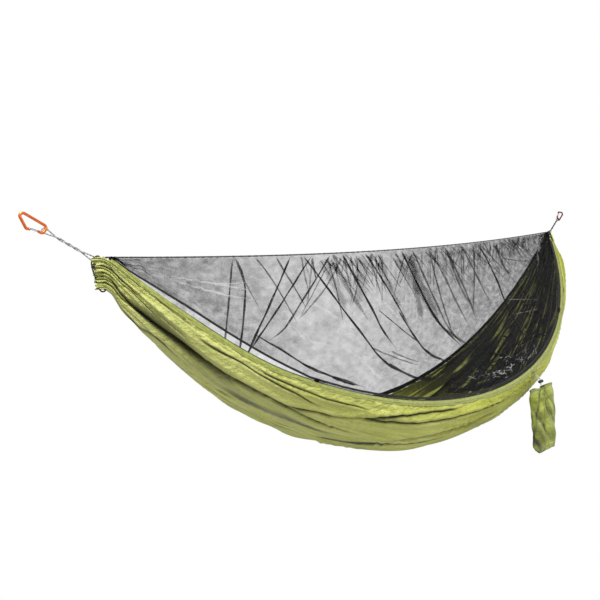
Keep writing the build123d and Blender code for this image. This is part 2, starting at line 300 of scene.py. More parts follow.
class Shader:
    """A principled material with a short way to add nodes."""

    def __init__(self, name, **inputs):
        self.material = bpy.data.materials.new(name)
        self.material.use_nodes = True
        self.tree = self.material.node_tree
        self.bsdf = self.tree.nodes["Principled BSDF"]
        self.output = self.tree.nodes["Material Output"]
        for key, value in inputs.items():
            socket = self.bsdf.inputs[key.replace("_", " ")]
            socket.default_value = (*value, 1) if isinstance(value, tuple) else value

    def put(self, socket, value):
        if isinstance(value, bpy.types.NodeSocket):
            self.tree.links.new(value, socket)
        elif isinstance(value, tuple) and len(value) == 3 and socket.type == "RGBA":
            socket.default_value = (*value, 1)
        else:
            socket.default_value = value

    def node(self, kind, out=0, settings=None, **inputs):
        made = self.tree.nodes.new(kind)
        for key, value in (settings or {}).items():
            setattr(made, key, value)
        for key, value in inputs.items():
            index = int(key[1:]) if key[0] == "i" and key[1:].isdigit() else key.replace("_", " ")
            self.put(made.inputs[index], value)
        return made.outputs[out]

    def calc(self, operation, a, b=0.0, c=0.0, clamp=False):
        settings = {"operation": operation, "use_clamp": clamp}
        return self.node("ShaderNodeMath", settings=settings, i0=a, i1=b, i2=c)

    def plus(self, a, b, share=1.0):
        """a with a share of b added."""
        return self.calc("ADD", a, b if share == 1.0 else self.calc("MULTIPLY", b, share))

    def attribute(self, name):
        return self.node("ShaderNodeAttribute", out=2, settings={"attribute_name": name})

    def split(self, vector):
        """The x and y of a vector."""
        made = self.tree.nodes.new("ShaderNodeSeparateXYZ")
        self.put(made.inputs[0], vector)
        return made.outputs[0], made.outputs[1]

    def uv(self):
        return self.node("ShaderNodeUVMap", settings={"uv_map": "cloth"})

    def local(self):
        return self.node("ShaderNodeTexCoord", out=3)

    def scaled(self, vector, x, y, z=1.0):
        return self.node("ShaderNodeMapping", i0=vector, Scale=(x, y, z))

    def noise(self, vector, scale, detail=3.0, rough=0.5):
        return self.node("ShaderNodeTexNoise", Vector=vector, Scale=scale, Detail=detail, Roughness=rough)

    def wave(self, vector, axis, scale, profile="SIN"):
        settings = {"wave_type": "BANDS", "bands_direction": axis, "wave_profile": profile}
        return self.node("ShaderNodeTexWave", out=1, settings=settings, Vector=vector, Scale=scale)

    def stretch(self, value, low, high, to_low=0.0, to_high=1.0):
        return self.node("ShaderNodeMapRange", i0=value, i1=low, i2=high, i3=to_low, i4=to_high)

    def mix(self, factor, a, b):
        made = self.tree.nodes.new("ShaderNodeMix")
        made.data_type = "RGBA"
        for index, value in ((0, factor), (6, a), (7, b)):
            self.put(made.inputs[index], value)
        return made.outputs[2]

    def bump(self, height, distance, strength=1.0, normal=None):
        made = self.tree.nodes.new("ShaderNodeBump")
        self.put(made.inputs["Height"], height)
        made.inputs["Distance"].default_value = distance
        made.inputs["Strength"].default_value = strength
        if normal is not None:
            self.put(made.inputs["Normal"], normal)
        return made.outputs[0]

    def set(self, **inputs):
        for key, value in inputs.items():
            self.put(self.bsdf.inputs[key.replace("_", " ")], value)
        return self


def weave_height(shader, vector, pitch):
    """Height of a plain weave: two crossed sets of threads, pitch metres apart."""
    scale = 1 / (10 * pitch)
    return shader.calc("MULTIPLY", shader.wave(vector, "X", scale), shader.wave(vector, "Y", scale))


# Painted light: a pale wash painted onto the body towards its brightly lit left end, and the painted shade of its unlit
# inside.
PAINTED_PALE_LIGHT = rgb(222, 224, 176)
UNLIT = rgb(12, 11, 8)


def nylon(name, light, mid, dark, fold, crinkle=1.0):
    """Thin plain-woven nylon: streaky tone along the cloth, fine crinkles and a faint weave. Two
    attributes of the mesh give the shade painted into its folds and into its unlit inside."""
    s = Shader(name, Roughness=0.42, Sheen_Weight=0.12, Sheen_Roughness=0.4)
    uv = s.uv()
    broad = s.noise(uv, 2.2, 4.0, 0.55)
    streaks = s.noise(s.scaled(uv, 4, 30), 1.0, 3.0, 0.5)
    specks = s.noise(uv, 260, 2.0, 0.7)
    tone = s.plus(s.plus(s.calc("MULTIPLY", broad, 0.50), streaks, 0.42), specks, 0.08)
    colour = s.mix(s.stretch(tone, 0.32, 0.50), dark, mid)
    colour = s.mix(s.stretch(tone, 0.50, 0.68), colour, light)
    # painted pale light towards the brightly lit left end, painted shade in the folds, and painted shade on the unlit
    # inside with painted lit streaks on it
    along, _ = s.split(s.local())
    colour = s.mix(s.stretch(along, 0.30, 1.50, 0.32, 0.0), colour, PAINTED_PALE_LIGHT)
    # fold is the colour of the shade painted into the folds
    colour = s.mix(s.attribute("fold_shade"), colour, fold)
    behind = s.node("ShaderNodeNewGeometry", out=6)
    # painted light: lit streaks painted over the painted shade of the inside
    painted_lit_streaks = s.stretch(s.noise(s.scaled(uv, 2.6, 27), 1.0, 2.0, 0.5), 0.55, 0.62)
    unlit = s.mix(painted_lit_streaks, UNLIT, light)
    colour = s.mix(s.calc("MULTIPLY", behind, s.attribute("inner_shade")), colour, unlit)
    at = s.local()
    warped = s.node("ShaderNodeVectorMath", settings={"operation": "ADD"}, i0=s.scaled(at, 11, 34, 34),
                    i1=s.noise(at, 9, 2.0))
    crinkles = s.noise(warped, 1.6, 4.0, 0.56)
    small = s.noise(at, 110, 3.0, 0.6)
    normal = s.bump(s.plus(crinkles, small, 0.16), 0.016 * crinkle)
    normal = s.bump(weave_height(s, uv, 0.0009), 0.00012, 0.5, normal)
    rough = s.stretch(small, 0.3, 0.7, 0.36, 0.50)
    s.set(Base_Color=colour, Normal=normal, Roughness=rough)
    through = s.node("ShaderNodeBsdfTranslucent", Color=colour, Normal=normal)
    blend = s.node("ShaderNodeMixShader", i0=0.10, i1=s.bsdf.outputs[0], i2=through)
    s.put(s.output.inputs[0], blend)
    return s.material


def netting(name):
    """Black insect net: fine round holes between knitted threads. More thread where it is gathered."""
    s = Shader(name, Roughness=0.7, Specular_IOR_Level=0.12)
    uv = s.uv()
    cells = s.node("ShaderNodeTexVoronoi", settings={"voronoi_dimensions": "2D"}, Vector=uv, Scale=620.0,
                   Randomness=0.25)
    thread = s.stretch(cells, 0.25, 0.55)
    cloudy = s.noise(s.scaled(uv, 1.0, 1.4), 26, 4.0, 0.65)
    grain = s.noise(uv, 210, 2.0, 0.7)
    uneven = s.plus(s.stretch(cloudy, 0.3, 0.7, 0.62, 1.38), s.stretch(grain, 0.3, 0.7, -0.22, 0.22))
    share = s.calc("MULTIPLY", s.attribute("thread_share"), uneven)
    spread = s.stretch(thread, 0.0, 1.0, 0.55, 1.45)
    alpha = s.calc("MULTIPLY", share, spread, clamp=True)
    tint = s.mix(s.stretch(grain, 0.35, 0.65), rgb(8, 8, 9), rgb(27, 27, 30))
    # painted highlight: a pale colour where a fold of the net catches the light, given by the shine attribute
    tint = s.mix(s.attribute("shine"), tint, rgb(206, 206, 204))
    s.set(Base_Color=tint, Alpha=alpha, Normal=s.bump(thread, 0.0004, 0.6))
    return s.material


# A braided sheath: its repeat along the cord in diameters, and the yarns that turn each way.
BRAID_PITCH = 1.1
BRAID_YARNS = 5


def braided(name, light, dark, tracer, diameter):
    """Braided cord: crossing yarns, with a tracer yarn of another colour."""
    s = Shader(name, Roughness=0.62, Sheen_Weight=0.04)
    uv = s.uv()
    u, v = s.split(uv)
    along = s.calc("MULTIPLY", u, 2 * math.pi / (BRAID_PITCH * diameter))
    around = s.calc("MULTIPLY", v, 2 * BRAID_YARNS / diameter)
    one = s.calc("SINE", s.calc("ADD", along, around))
    two = s.calc("SINE", s.calc("SUBTRACT", along, around))
    yarn = s.calc("MAXIMUM", one, two)
    fibres = s.noise(s.scaled(uv, 900, 2600), 1.0, 2.0)
    marks = s.stretch(s.calc("SINE", s.calc("MULTIPLY", along, 0.5)), 0.55, 0.75)
    colour = s.mix(s.stretch(yarn, 0.0, 0.9), dark, light)
    colour = s.mix(s.calc("MULTIPLY", marks, s.stretch(one, 0.2, 0.5)), colour, tracer)
    colour = s.mix(s.stretch(fibres, 0.3, 0.8, 0.0, 0.35), colour, dark)
    s.set(Base_Color=colour, Normal=s.bump(s.plus(yarn, fibres, 0.25), diameter * 0.10, 0.9))
    return s.material


def tape(name, dark, light):
    """Woven tape in a twill, with a lighter worn edge here and there."""
    s = Shader(name, Roughness=0.68, Sheen_Weight=0.06, Specular_IOR_Level=0.25)
    uv = s.uv()
    rows = s.wave(uv, "DIAGONAL", 1 / 0.020, "TRI")
    cloud = s.noise(uv, 60, 4.0, 0.6)
    tone = s.plus(s.calc("MULTIPLY", rows, 0.5), cloud, 0.6)
    s.set(Base_Color=s.mix(s.stretch(tone, 0.3, 0.8), dark, light), Normal=s.bump(rows, 0.0003, 0.7))
    return s.material


def stitched(name, base, light, thread):
    """Hem cloth: nylon with a line of lockstitch and small puckers beside it."""
    s = Shader(name, Roughness=0.46, Sheen_Weight=0.12)
    uv = s.uv()
    along, across = s.split(uv)
    dash = s.stretch(s.calc("SINE", s.calc("MULTIPLY", along, 2 * math.pi / 0.0042)), -0.5, -0.1)
    near_line = s.stretch(s.calc("ABSOLUTE", s.calc("SUBTRACT", across, 0.0105)), 0.0012, 0.0005)
    stitch = s.calc("MULTIPLY", dash, near_line)
    tone = s.noise(s.scaled(uv, 70, 160), 1.0, 4.0, 0.6)
    colour = s.mix(s.stretch(tone, 0.35, 0.65), base, light)
    colour = s.mix(stitch, colour, thread)
    pucker = s.noise(s.scaled(uv, 150, 60), 1.0, 2.0)
    s.set(Base_Color=colour, Normal=s.bump(s.plus(pucker, stitch, -0.5), 0.0016, 0.9))
    return s.material


def anodised(name, colour, worn):
    """Anodised aluminium, satin, with rubbed patches and fine drawing lines."""
    s = Shader(name, Metallic=0.82, Roughness=0.3, Coat_Weight=0.25, Coat_Roughness=0.2)
    at = s.local()
    rub = s.noise(at, 95, 5.0, 0.65)
    fine = s.noise(at, 900, 2.0, 0.6)
    patch = s.stretch(s.plus(rub, fine, 0.2), 0.68, 0.80)
    s.set(Base_Color=s.mix(patch, colour, worn), Roughness=s.stretch(rub, 0.3, 0.7, 0.24, 0.42),
          Normal=s.bump(fine, 0.00006, 0.5))
    return s.material


def metal(name, colour, shade, rough):
    s = Shader(name, Metallic=0.9, Roughness=rough)
    at = s.local()
    cloud = s.noise(at, 380, 4.0, 0.6)
    fine = s.noise(at, 2400, 2.0)
    s.set(Base_Color=s.mix(s.stretch(cloud, 0.35, 0.65), colour, shade),
          Roughness=s.stretch(cloud, 0.3, 0.7, rough - 0.08, rough + 0.1), Normal=s.bump(fine, 0.00004, 0.6))
    return s.material


def plastic(name, colour, shade):
    s = Shader(name, Roughness=0.48, Specular_IOR_Level=0.45)
    at = s.local()
    grain = s.noise(at, 1500, 3.0, 0.6)
    cloud = s.noise(at, 160, 3.0)
    s.set(Base_Color=s.mix(s.stretch(cloud, 0.3, 0.7), colour, shade), Normal=s.bump(grain, 0.00008, 0.7))
    return s.material


# The fourth colour of each nylon is the shade painted into its folds.
BODY_CLOTH = nylon("body_nylon", rgb(220, 223, 118), rgb(180, 185, 58), rgb(124, 130, 28), rgb(16, 12, 6))
SACK_CLOTH = nylon("sack_nylon", rgb(204, 214, 104), rgb(144, 154, 44), rgb(84, 92, 14), rgb(48, 46, 8), 0.55)
HEM_CLOTH = stitched("hem_cloth", rgb(116, 123, 46), rgb(150, 156, 70), rgb(84, 90, 30))
SACK_HEM = stitched("sack_hem_cloth", rgb(108, 114, 46), rgb(142, 148, 70), rgb(206, 208, 188))
NETTING = netting("insect_net")
RIDGE_TAPE = tape("ridge_tape_cloth", rgb(44, 44, 46), rgb(96, 96, 98))
ZIP_TAPE = tape("zip_tape_cloth", rgb(10, 10, 11), rgb(30, 30, 32))
WEBBING = tape("tab_webbing_cloth", rgb(110, 116, 52), rgb(152, 158, 80))
SEAM_TAPE = tape("seam_binding", rgb(38, 42, 20), rgb(82, 88, 42))
LIGHT_CORD = braided("light_cord", rgb(226, 226, 228), rgb(120, 122, 126), rgb(70, 74, 80), LOOP_THICK)
# The right loop is the same cord as the left one, with shade painted into its colour.
CORD_IN_PAINTED_SHADE = braided("cord_in_painted_shade", rgb(20, 20, 21), rgb(7, 7, 8), rgb(38, 38, 40), LOOP_THICK)
END_CORD = braided("end_cord_sheath", rgb(44, 44, 42), rgb(12, 12, 12), rgb(150, 150, 146), GATHER_THICK)
WHITE_CORD = braided("white_cord_sheath", rgb(240, 240, 238), rgb(176, 176, 172), rgb(206, 206, 200), 0.0024)
RIDGE_LINE = braided("ridge_line", rgb(120, 120, 122), rgb(40, 40, 42), rgb(200, 200, 200), RIDGE_THICK)
COIL = plastic("zip_coil_nylon", rgb(18, 18, 19), rgb(40, 40, 42))


# ---------------------------------------------------------------- cords


def spline_line(points):
    """The smooth line of a NURBS spline with these control points, as sampled points."""
    data = bpy.data.curves.new("route", "CURVE")
    data.dimensions = "3D"
    data.resolution_u = 24
    spline = data.splines.new("NURBS")
    spline.points.add(len(points) - 1)
    for control, point in zip(spline.points, points):
        control.co = (*[float(c) for c in point], 1)
    spline.order_u = 3
    spline.use_endpoint_u = True
    holder = bpy.data.objects.new("route", data)
    mesh = bpy.data.meshes.new_from_object(holder)
    line = np.array([v.co for v in mesh.vertices], float).reshape(-1, 3)
    bpy.data.meshes.remove(mesh)
    bpy.data.objects.remove(holder)
    bpy.data.curves.remove(data)
    return line


def resampled(line, step):
    along = along_lengths(line)
    at = np.linspace(0, along[-1], max(4, int(along[-1] / step)))
    return np.stack([np.interp(at, along, line[:, k]) for k in range(3)], -1)


def moving_frames(path):
    """Across and out unit vectors that turn as little as they can along a path."""
    tangent = unit(np.gradient(path, axis=0))
    start = np.array([0.0, 1.0, 0.0])
    if abs(tangent[0] @ start) > 0.9:
        start = np.array([0.0, 0.0, 1.0])
    across = [unit(start - tangent[0] * (tangent[0] @ start))]
    for t in tangent[1:]:
        across.append(unit(across[-1] - t * (t @ across[-1])))
    across = np.array(across)
    return across, np.cross(tangent, across)


def braid(name, route, diameter, body, material, replaces, step=0.0006, sides=20):
    """A braided cord along a route in the hammock's frame."""
    path = resampled(spline_line(route), step)
    across, out = moving_frames(path)
    along = along_lengths(path)[:, None]
    turn, yarns = 2 * np.pi * along / (BRAID_PITCH * diameter), BRAID_YARNS * around(sides)
    bulge = np.maximum(np.sin(turn + yarns), np.sin(turn - yarns))
    radius = diameter / 2 * (0.95 + 0.06 * bulge)
    made = tube(name, path, across, out, oval(sides, radius, radius), body, material,
                math.pi * diameter, replaces)
    return made


def chain_line(side, rise):
    """Where a carabiner's cord leaves the gathered end, and the direction it is pulled in."""
    start = np.array([side * END_X, 0, END_Z])
    along = np.array([side * math.cos(rise), 0, math.sin(rise)])
    return start, along


def suspension(side, rise, name, material):
    """One loop of cord from the gathered end to the carabiner, its two legs twisted together."""
    start, along = chain_line(side, rise)
    up = np.array([along[2], 0, -along[0]]) * side
    cross = np.array([0.0, 1.0, 0.0])

    def leg(share, half):
        spread = 0.0026 + 0.0044 * (1 - ease(share, 0, 0.22) + ease(share, 0.80, 1))
        angle = math.pi * (half + 4 * ease(share, 0.06, 0.94))
        centre = start + along * LOOP_REACH * share
        return centre + (up * math.cos(angle) + cross * math.sin(angle)) * spread

    there = [leg(s, 0) for s in np.linspace(0, 1, 26)]
    back = [leg(s, 1) for s in np.linspace(1, 0, 26)]
    top = start + along * (LOOP_REACH + LOOP_TURN * 1.15)
    foot = start - along * LOOP_TURN * 1.1
    aside = up * 0.0058
    route = [foot, foot + aside, *there, top + aside, top - aside, *back, foot - aside, foot]
    braid(f"suspension_{name}", route, LOOP_THICK, "hammock", material,
          [f"suspension_loop_{name}"])


def end_cord(side, name):
    """Cord through the channel of the gathered end, drawn tight behind the ruffle."""
    route = [(1.3662, -0.003), (1.358, 0.0045), (1.3460, 0.0045), (1.3450, -0.015), (1.3450, -0.055),
             (1.3450, -0.090), (1.3452, -0.104), (1.353, -0.107), (1.3612, -0.103), (1.3645, -0.085),
             (1.3725, -0.045), (1.3748, -0.022), (1.3715, -0.008), (1.3670, -0.002)]
    points = [(side * x, 0.0, z) for x, z in route]
    braid(f"gather_cord_{name}", points, GATHER_THICK, "hammock", END_CORD, [f"end_cord_{name}"])


def ridge_line():
    points = [(x, 0.0, float(ridge_height(x))) for x in np.linspace(-1.3305, 1.3305, 7)]
    braid("ridge_line", points, RIDGE_THICK, "hammock", RIDGE_LINE, ["ridge_cord"],
          step=0.0011, sides=12)


def knot(side, name):
    """Overhand knot that stops the ridge line at the gathered end."""
    t = np.linspace(0, 2 * np.pi, 90)
    loop = np.stack([np.sin(t) + 2 * np.sin(2 * t), np.cos(t) - 2 * np.cos(2 * t), -np.sin(3 * t)], -1)
    path = loop * np.array([0.00090, 0.00085, 0.0013]) + np.array([side * 1.3348, 0, -0.0005])
    across, out = moving_frames(path)
    tube(f"ridge_stop_knot_{name}", path, across, out, oval(10, 0.0011, 0.0011), "hammock", RIDGE_LINE,
         0.0075, [f"ridge_knot_{name}"])


suspension(-1, LEFT_RISE, "left", LIGHT_CORD)
# the right loop gets the cord colour with painted shade
suspension(1, RIGHT_RISE, "right", CORD_IN_PAINTED_SHADE)
for side, name in ((-1, "left"), (1, "right")):
    end_cord(side, name)
    knot(side, name)
ridge_line()


# ---------------------------------------------------------------- hammock body

# Long folds, each as places (along the hammock, share across the cloth, width in millimetres), then
# how deep it is for its width, and how much shade is painted into its bottom. Across, 0 is the near
# rim, 0.5 the lowest line and 1 the far rim.
FOLDS = [
    ([(-1.335, 0.28, 6), (-1.31, 0.34, 9), (-1.27, 0.315, 20), (-1.22, 0.295, 28), (-1.17, 0.28, 33),
      (-1.12, 0.275, 33), (-1.06, 0.265, 31), (-1.01, 0.24, 22), (-0.95, 0.21, 13), (-0.88, 0.19, 9),
      (-0.80, 0.156, 8), (-0.70, 0.125, 7), (-0.60, 0.09, 5)], 2.3, 1.0),
    ([(-1.315, 0.50, 4), (-1.28, 0.52, 5), (-1.25, 0.50, 7), (-1.22, 0.435, 6), (-1.185, 0.455, 5),
      (-1.16, 0.47, 3)], 1.8, 0.95),
    ([(-1.335, 0.06, 3), (-1.318, 0.13, 5), (-1.297, 0.143, 6), (-1.275, 0.15, 3)], 2.0, 0.95),
    ([(-1.335, 0.22, 3), (-1.32, 0.29, 5), (-1.305, 0.32, 3)], 2.0, 0.95),
    ([(-1.29, 0.148, 7), (-1.27, 0.17, 9), (-1.24, 0.165, 9), (-1.20, 0.15, 8), (-1.15, 0.15, 6)], 1.0, 0.40),
    ([(-1.225, 0.012, 4), (-1.20, 0.028, 8), (-1.17, 0.022, 6), (-1.14, 0.035, 4)], 1.2, 0.50),
    ([(-1.15, 0.082, 3), (-1.11, 0.088, 5), (-1.07, 0.075, 6), (-1.02, 0.062, 6), (-0.97, 0.072, 6),
      (-0.91, 0.074, 6), (-0.86, 0.082, 5), (-0.80, 0.110, 4)], 1.7, 0.95),
    ([(-0.985, 0.042, 3), (-0.92, 0.040, 5), (-0.84, 0.046, 6), (-0.77, 0.048, 6), (-0.70, 0.045, 6),
      (-0.63, 0.047, 4)], 1.3, 0.80),
    ([(-0.82, 0.16, 5), (-0.75, 0.149, 8), (-0.667, 0.112, 9), (-0.568, 0.076, 9), (-0.414, 0.038, 8),
      (-0.32, 0.029, 7), (-0.21, 0.018, 5)], 1.4, 0.94),
    ([(-0.66, 0.115, 4), (-0.59, 0.105, 8), (-0.51, 0.093, 9), (-0.406, 0.082, 9), (-0.262, 0.063, 8),
      (-0.093, 0.049, 7), (0.08, 0.047, 5)], 1.4, 0.92),
    ([(-0.97, 0.20, 5), (-0.89, 0.225, 11), (-0.83, 0.222, 13), (-0.75, 0.24, 11), (-0.63, 0.235, 7)], 1.3, 0.72),
    ([(-1.07, 0.42, 6), (-0.965, 0.40, 17), (-0.905, 0.375, 23), (-0.844, 0.35, 24), (-0.787, 0.34, 20),
      (-0.72, 0.335, 13), (-0.62, 0.31, 6)], 0.10, 0.74),
    ([(-0.84, 0.52, 5), (-0.795, 0.49, 7), (-0.716, 0.447, 9), (-0.652, 0.397, 11), (-0.587, 0.355, 12),
      (-0.50, 0.305, 12), (-0.40, 0.262, 12), (-0.296, 0.227, 11), (-0.187, 0.190, 10), (-0.036, 0.150, 8),
      (0.15, 0.115, 6)], 0.30, 0.94),
    ([(-1.10, 0.66, 4), (-0.98, 0.63, 9), (-0.86, 0.61, 12), (-0.76, 0.575, 10), (-0.68, 0.54, 5)], 0.15, 0.50),
    ([(-1.15, 0.645, 3), (-1.12, 0.647, 5), (-1.09, 0.65, 4)], 1.6, 0.80),
    ([(-1.12, 0.64, 4), (-1.07, 0.55, 7), (-1.014, 0.522, 7), (-0.95, 0.50, 5)], 1.0, 0.40),
    ([(-0.62, 0.30, 8), (-0.45, 0.22, 14), (-0.28, 0.16, 14), (-0.10, 0.12, 10), (0.05, 0.09, 6)], 0.6, 0.36),
    ([(0.05, 0.26, 12), (0.30, 0.22, 17), (0.55, 0.19, 17), (0.85, 0.20, 17), (1.12, 0.26, 12)], 0.7, 0.30),
    ([(0.30, 0.10, 8), (0.55, 0.09, 12), (0.80, 0.11, 14), (1.05, 0.16, 13), (1.28, 0.22, 8)], 1.0, 0.45),
    ([(0.10, 0.42, 12), (0.40, 0.38, 20), (0.75, 0.37, 20), (1.08, 0.40, 14)], 0.7, 0.30),
    ([(-0.60, 0.64, 10), (-0.30, 0.62, 20), (0.05, 0.63, 12)], 1.1, 0.40),
    ([(-0.95, 0.74, 12), (-0.55, 0.76, 20), (-0.10, 0.75, 20), (0.35, 0.76, 12)], 1.1, 0.40),
    ([(-1.24, 0.80, 8), (-1.00, 0.84, 14), (-0.70, 0.87, 16), (-0.40, 0.88, 10)], 1.2, 0.50),
    ([(0.10, 0.84, 10), (0.45, 0.86, 17), (0.80, 0.84, 18), (1.15, 0.78, 12)], 1.4, 0.70),
    ([(0.35, 0.66, 12), (0.70, 0.68, 20), (1.00, 0.66, 20), (1.26, 0.62, 10)], 1.3, 0.60),
    ([(0.62, 0.93, 6), (0.85, 0.92, 12), (1.08, 0.88, 13), (1.30, 0.78, 6)], 1.4, 0.80),
    ([(0.55, 0.76, 8), (0.85, 0.76, 16), (1.10, 0.73, 16), (1.30, 0.66, 8)], 1.4, 0.80),
    ([(0.70, 0.58, 8), (0.95, 0.58, 14), (1.28, 0.54, 8)], 1.3, 0.60),
]


def section_base(x):
    """One cross-section of the body at fine steps: y, z and the length along it."""
    end = ease(abs(x), 1.302, 1.350)
    half = np.linspace(0, np.pi, 500)
    depth = rim_depth(x, 0.010)
    side = depth * math.sin(RIM_TILT) * (1 - 0.25 * end)
    top = -depth * math.cos(RIM_TILT) * (1 - end) + 0.001 * end
    low = -belly(min(abs(x), 1.325) * np.sign(x)) * (1 - end) - 0.100 * end
    c, s = np.cos(half), np.sin(half)
    y = -side * np.sign(c) * np.abs(c) ** (2 / 2.2)
    z = top + (low - top) * np.abs(s) ** (2 / 2.2)
    return y, z, np.concatenate([[0], np.cumsum(np.hypot(np.diff(y), np.diff(z)))])


def fold_offsets(x, across, length):
    """Sideways and outward moves of the cloth at its long folds, and the shade painted into them."""
    slide, out, dark = np.zeros_like(across), np.zeros_like(across), np.zeros_like(across)
    for places, ratio, shade in FOLDS:
        at, where, wide = np.array(places).T
        line, width = 0.0, 0.0
        for shift in (-0.02, 0, 0.02):
            line = line + np.interp(x + shift, at, where) / 3
            width = width + np.interp(x + shift, at, wide) / 3000
        span = 0.05 if at[0] < -1.2 else 0.02 + 0.006 * np.max(wide)
        span = min(span, 0.3 * (at[-1] - at[0]))
        strength = ease(x, at[0] - 0.01, at[0] + span) * (1 - ease(x, at[-1] - span, at[-1] + 0.03))
        wander = 0.0014 * np.sin(x * 37 + places[0][0] * 40) + 0.0010 * np.sin(x * 83 + places[0][1] * 90)
        zone = (across - line - wander) * length / width
        strength = strength * (1 + 0.15 * np.sin(x * 29 + places[1][1] * 60))
        slide -= strength * width * 0.9 * min(1, ratio) * zone * np.exp(-(zone**2) / 2)
        lips = strength * width * min(1, ratio)
        out += lips * (0.42 * np.exp(-(((zone + 1.6) / 0.9) ** 2)) + 0.26 * np.exp(-(((zone - 1.8) / 1.0) ** 2)))
        out -= strength * width * ratio * np.exp(-((zone / 0.78) ** 2))
        # painted shade in the bottom of each fold
        dark = np.maximum(dark, shade * np.minimum(strength, 1) * np.exp(-((np.abs(zone) / 1.12) ** 4)))
    return slide, out, dark


CLOTH_END_X = 1.3665


def body_cloth():
    """The body as one sheet: its sections, moved by folds, gathers and wrinkles."""
    columns, rows = 640, 500
    stations, arc_length = rim_stations(-CLOTH_END_X, CLOTH_END_X, columns)
    across = np.linspace(0, 1, rows)
    across = across - 0.055 * np.sin(2 * np.pi * across)
    bases = [section_base(x) for x in stations]
    length = np.array([arc[-1] for _, _, arc in bases])[:, None]
    x, v = np.meshgrid(stations, across, indexing="ij")
    from_end = CLOTH_END_X - np.abs(x)
    left = (x < 0).astype(float)
    edge = ease(np.minimum(v, 1 - v) * length, 0.0, 0.030)

    slide, out, dark = fold_offsets(x, v, length)
    # gathered pleats: tight and uneven at the ends, and fading out along the body
    drift = 0.022 * waves(x, v, 4, (0.5, 1.1), (0.3, 0.8), 3)
    uneven = 0.010 * waves(x * 0, v, 6, (1, 2), (0.06, 0.30), 4)
    phase = 2 * np.pi * (v + uneven + drift * ease(from_end, 0.02, 0.3))
    size = np.clip(0.75 + 0.40 * waves(x, v, 5, (0.2, 0.6), (0.05, 0.25), 6), 0.15, 1.6)
    tight = np.sin(phase * 19 + 1.3) + 0.7 * np.sin(phase * 33 + 4 * left)
    tight = tight / np.sqrt(0.25 + tight**2)
    wide = np.sin(phase * 11 + 0.8 + 2 * left) + 0.6 * np.sin(phase * 7 + 2.1)
    wide = wide / np.sqrt(0.5 + wide**2)
    near = 1 - 0.62 * ease(0.5 - v, -0.05, 0.05) * left
    by_end = np.exp(-((from_end / 0.11) ** 1.3))
    out += 0.0085 * size * tight * by_end
    out += 0.0040 * size * tight * ease(from_end, 0.02, 0.10) * np.exp(-((from_end / 0.42) ** 2)) * near
    out += 0.0085 * wide * ease(from_end, 0.06, 0.20) * np.exp(-((from_end / 0.80) ** 2)) * near
    out += 0.0030 * waves(x, v * length, 7, (0.5, 1.3), (0.05, 0.13), 11) * ease(from_end, 0.05, 0.5)
    # the belly hangs fuller in the middle, and the near side swells out beside the right end
    out += 0.011 * np.exp(-(((x + 0.33) / 0.24) ** 2) - ((v - 0.38) / 0.20) ** 2)
    out -= 0.008 * np.exp(-(((x + 0.88) / 0.12) ** 2) - ((v - 0.58) / 0.16) ** 2)
    swell = ease(x, 0.85, 1.12) * (1 - ease(x, 1.25, 1.335))
    out += 0.024 * swell * np.exp(-(((v - 0.10) / 0.10) ** 2))
    # painted shade in the valleys of the gathered pleats near the ends
    dark = np.maximum(dark, 0.95 * np.clip(-tight * size - 0.10, 0, 1) * np.exp(-((from_end / 0.085) ** 2)))
    # puckers beside the stitched rim, and short cross wrinkles on the strips between folds
    by_rim = np.exp(-np.minimum(v, 1 - v) * length / 0.045)
    along = np.repeat(arc_length[:, None], rows, 1)
    out += 0.0026 * by_rim * waves(along, v * length, 6, (0.018, 0.050), (0.10, 0.40), 5)
    patches = np.clip(waves(along, v * length, 5, (0.25, 0.6), (0.12, 0.3), 21), 0, 1.5)
    out += 0.0013 * patches * waves(along, v * length, 7, (0.020, 0.060), (0.030, 0.12), 8)
    out *= 0.25 + 0.75 * edge
    slide *= edge
    # dark inside the hollow right end, where little light comes in
    shaded = 0.97 * ease(x, -0.30, 0.62)

    points = np.zeros((columns, rows, 3))
    cloth = np.zeros((columns, rows, 2))
    for i, (y, z, arc) in enumerate(bases):
        at = np.clip(v[i] * arc[-1] + slide[i], 0, arc[-1])
        place = np.stack([np.interp(at, arc, y), np.interp(at, arc, z)], -1)
        tangent = unit(np.stack([np.interp(at, arc, np.gradient(y, arc)), np.interp(at, arc, np.gradient(z, arc))], -1))
        outward = np.stack([tangent[:, 1], -tangent[:, 0]], -1)
        moved = place + outward * np.clip(out[i], 0.72 * place[0, 0] - 0.004, None)[:, None]
        points[i, :, 0] = stations[i]
        points[i, :, 1:] = moved
        cloth[i] = np.stack([along[i], v[i] * 1.35], -1)
    # the ends of the cloth stand out unevenly past the cord
    flare = ease(np.abs(points[..., 0]), 1.335, CLOTH_END_X)
    ragged = waves(v * 0, v, 6, (1, 2), (0.03, 0.16), 14)
    points[..., 0] += np.sign(x) * flare * (0.004 + 0.005 * ragged)
    points[..., 2] += flare * 0.003 * waves(v * 0, v, 5, (1, 2), (0.04, 0.2), 15)
    made = piece("body_cloth", points, grid_faces(columns, rows), "hammock", BODY_CLOTH, cloth,
                 {"fold_shade": dark, "inner_shade": shaded})
    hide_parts("hammock_body", "end_sleeve_left", "end_sleeve_right")
    return made


def rim_tube(name, side, path, ring, material, girth, replaces=()):
    """A tube that follows a rim, its rings laid in the rim's plane and out of it."""
    out = rim_normal(side, len(path))
    down = unit(np.cross(unit(np.gradient(path, axis=0)), out))
    return tube(name, path, down, out, ring, "hammock", material, girth, replaces)


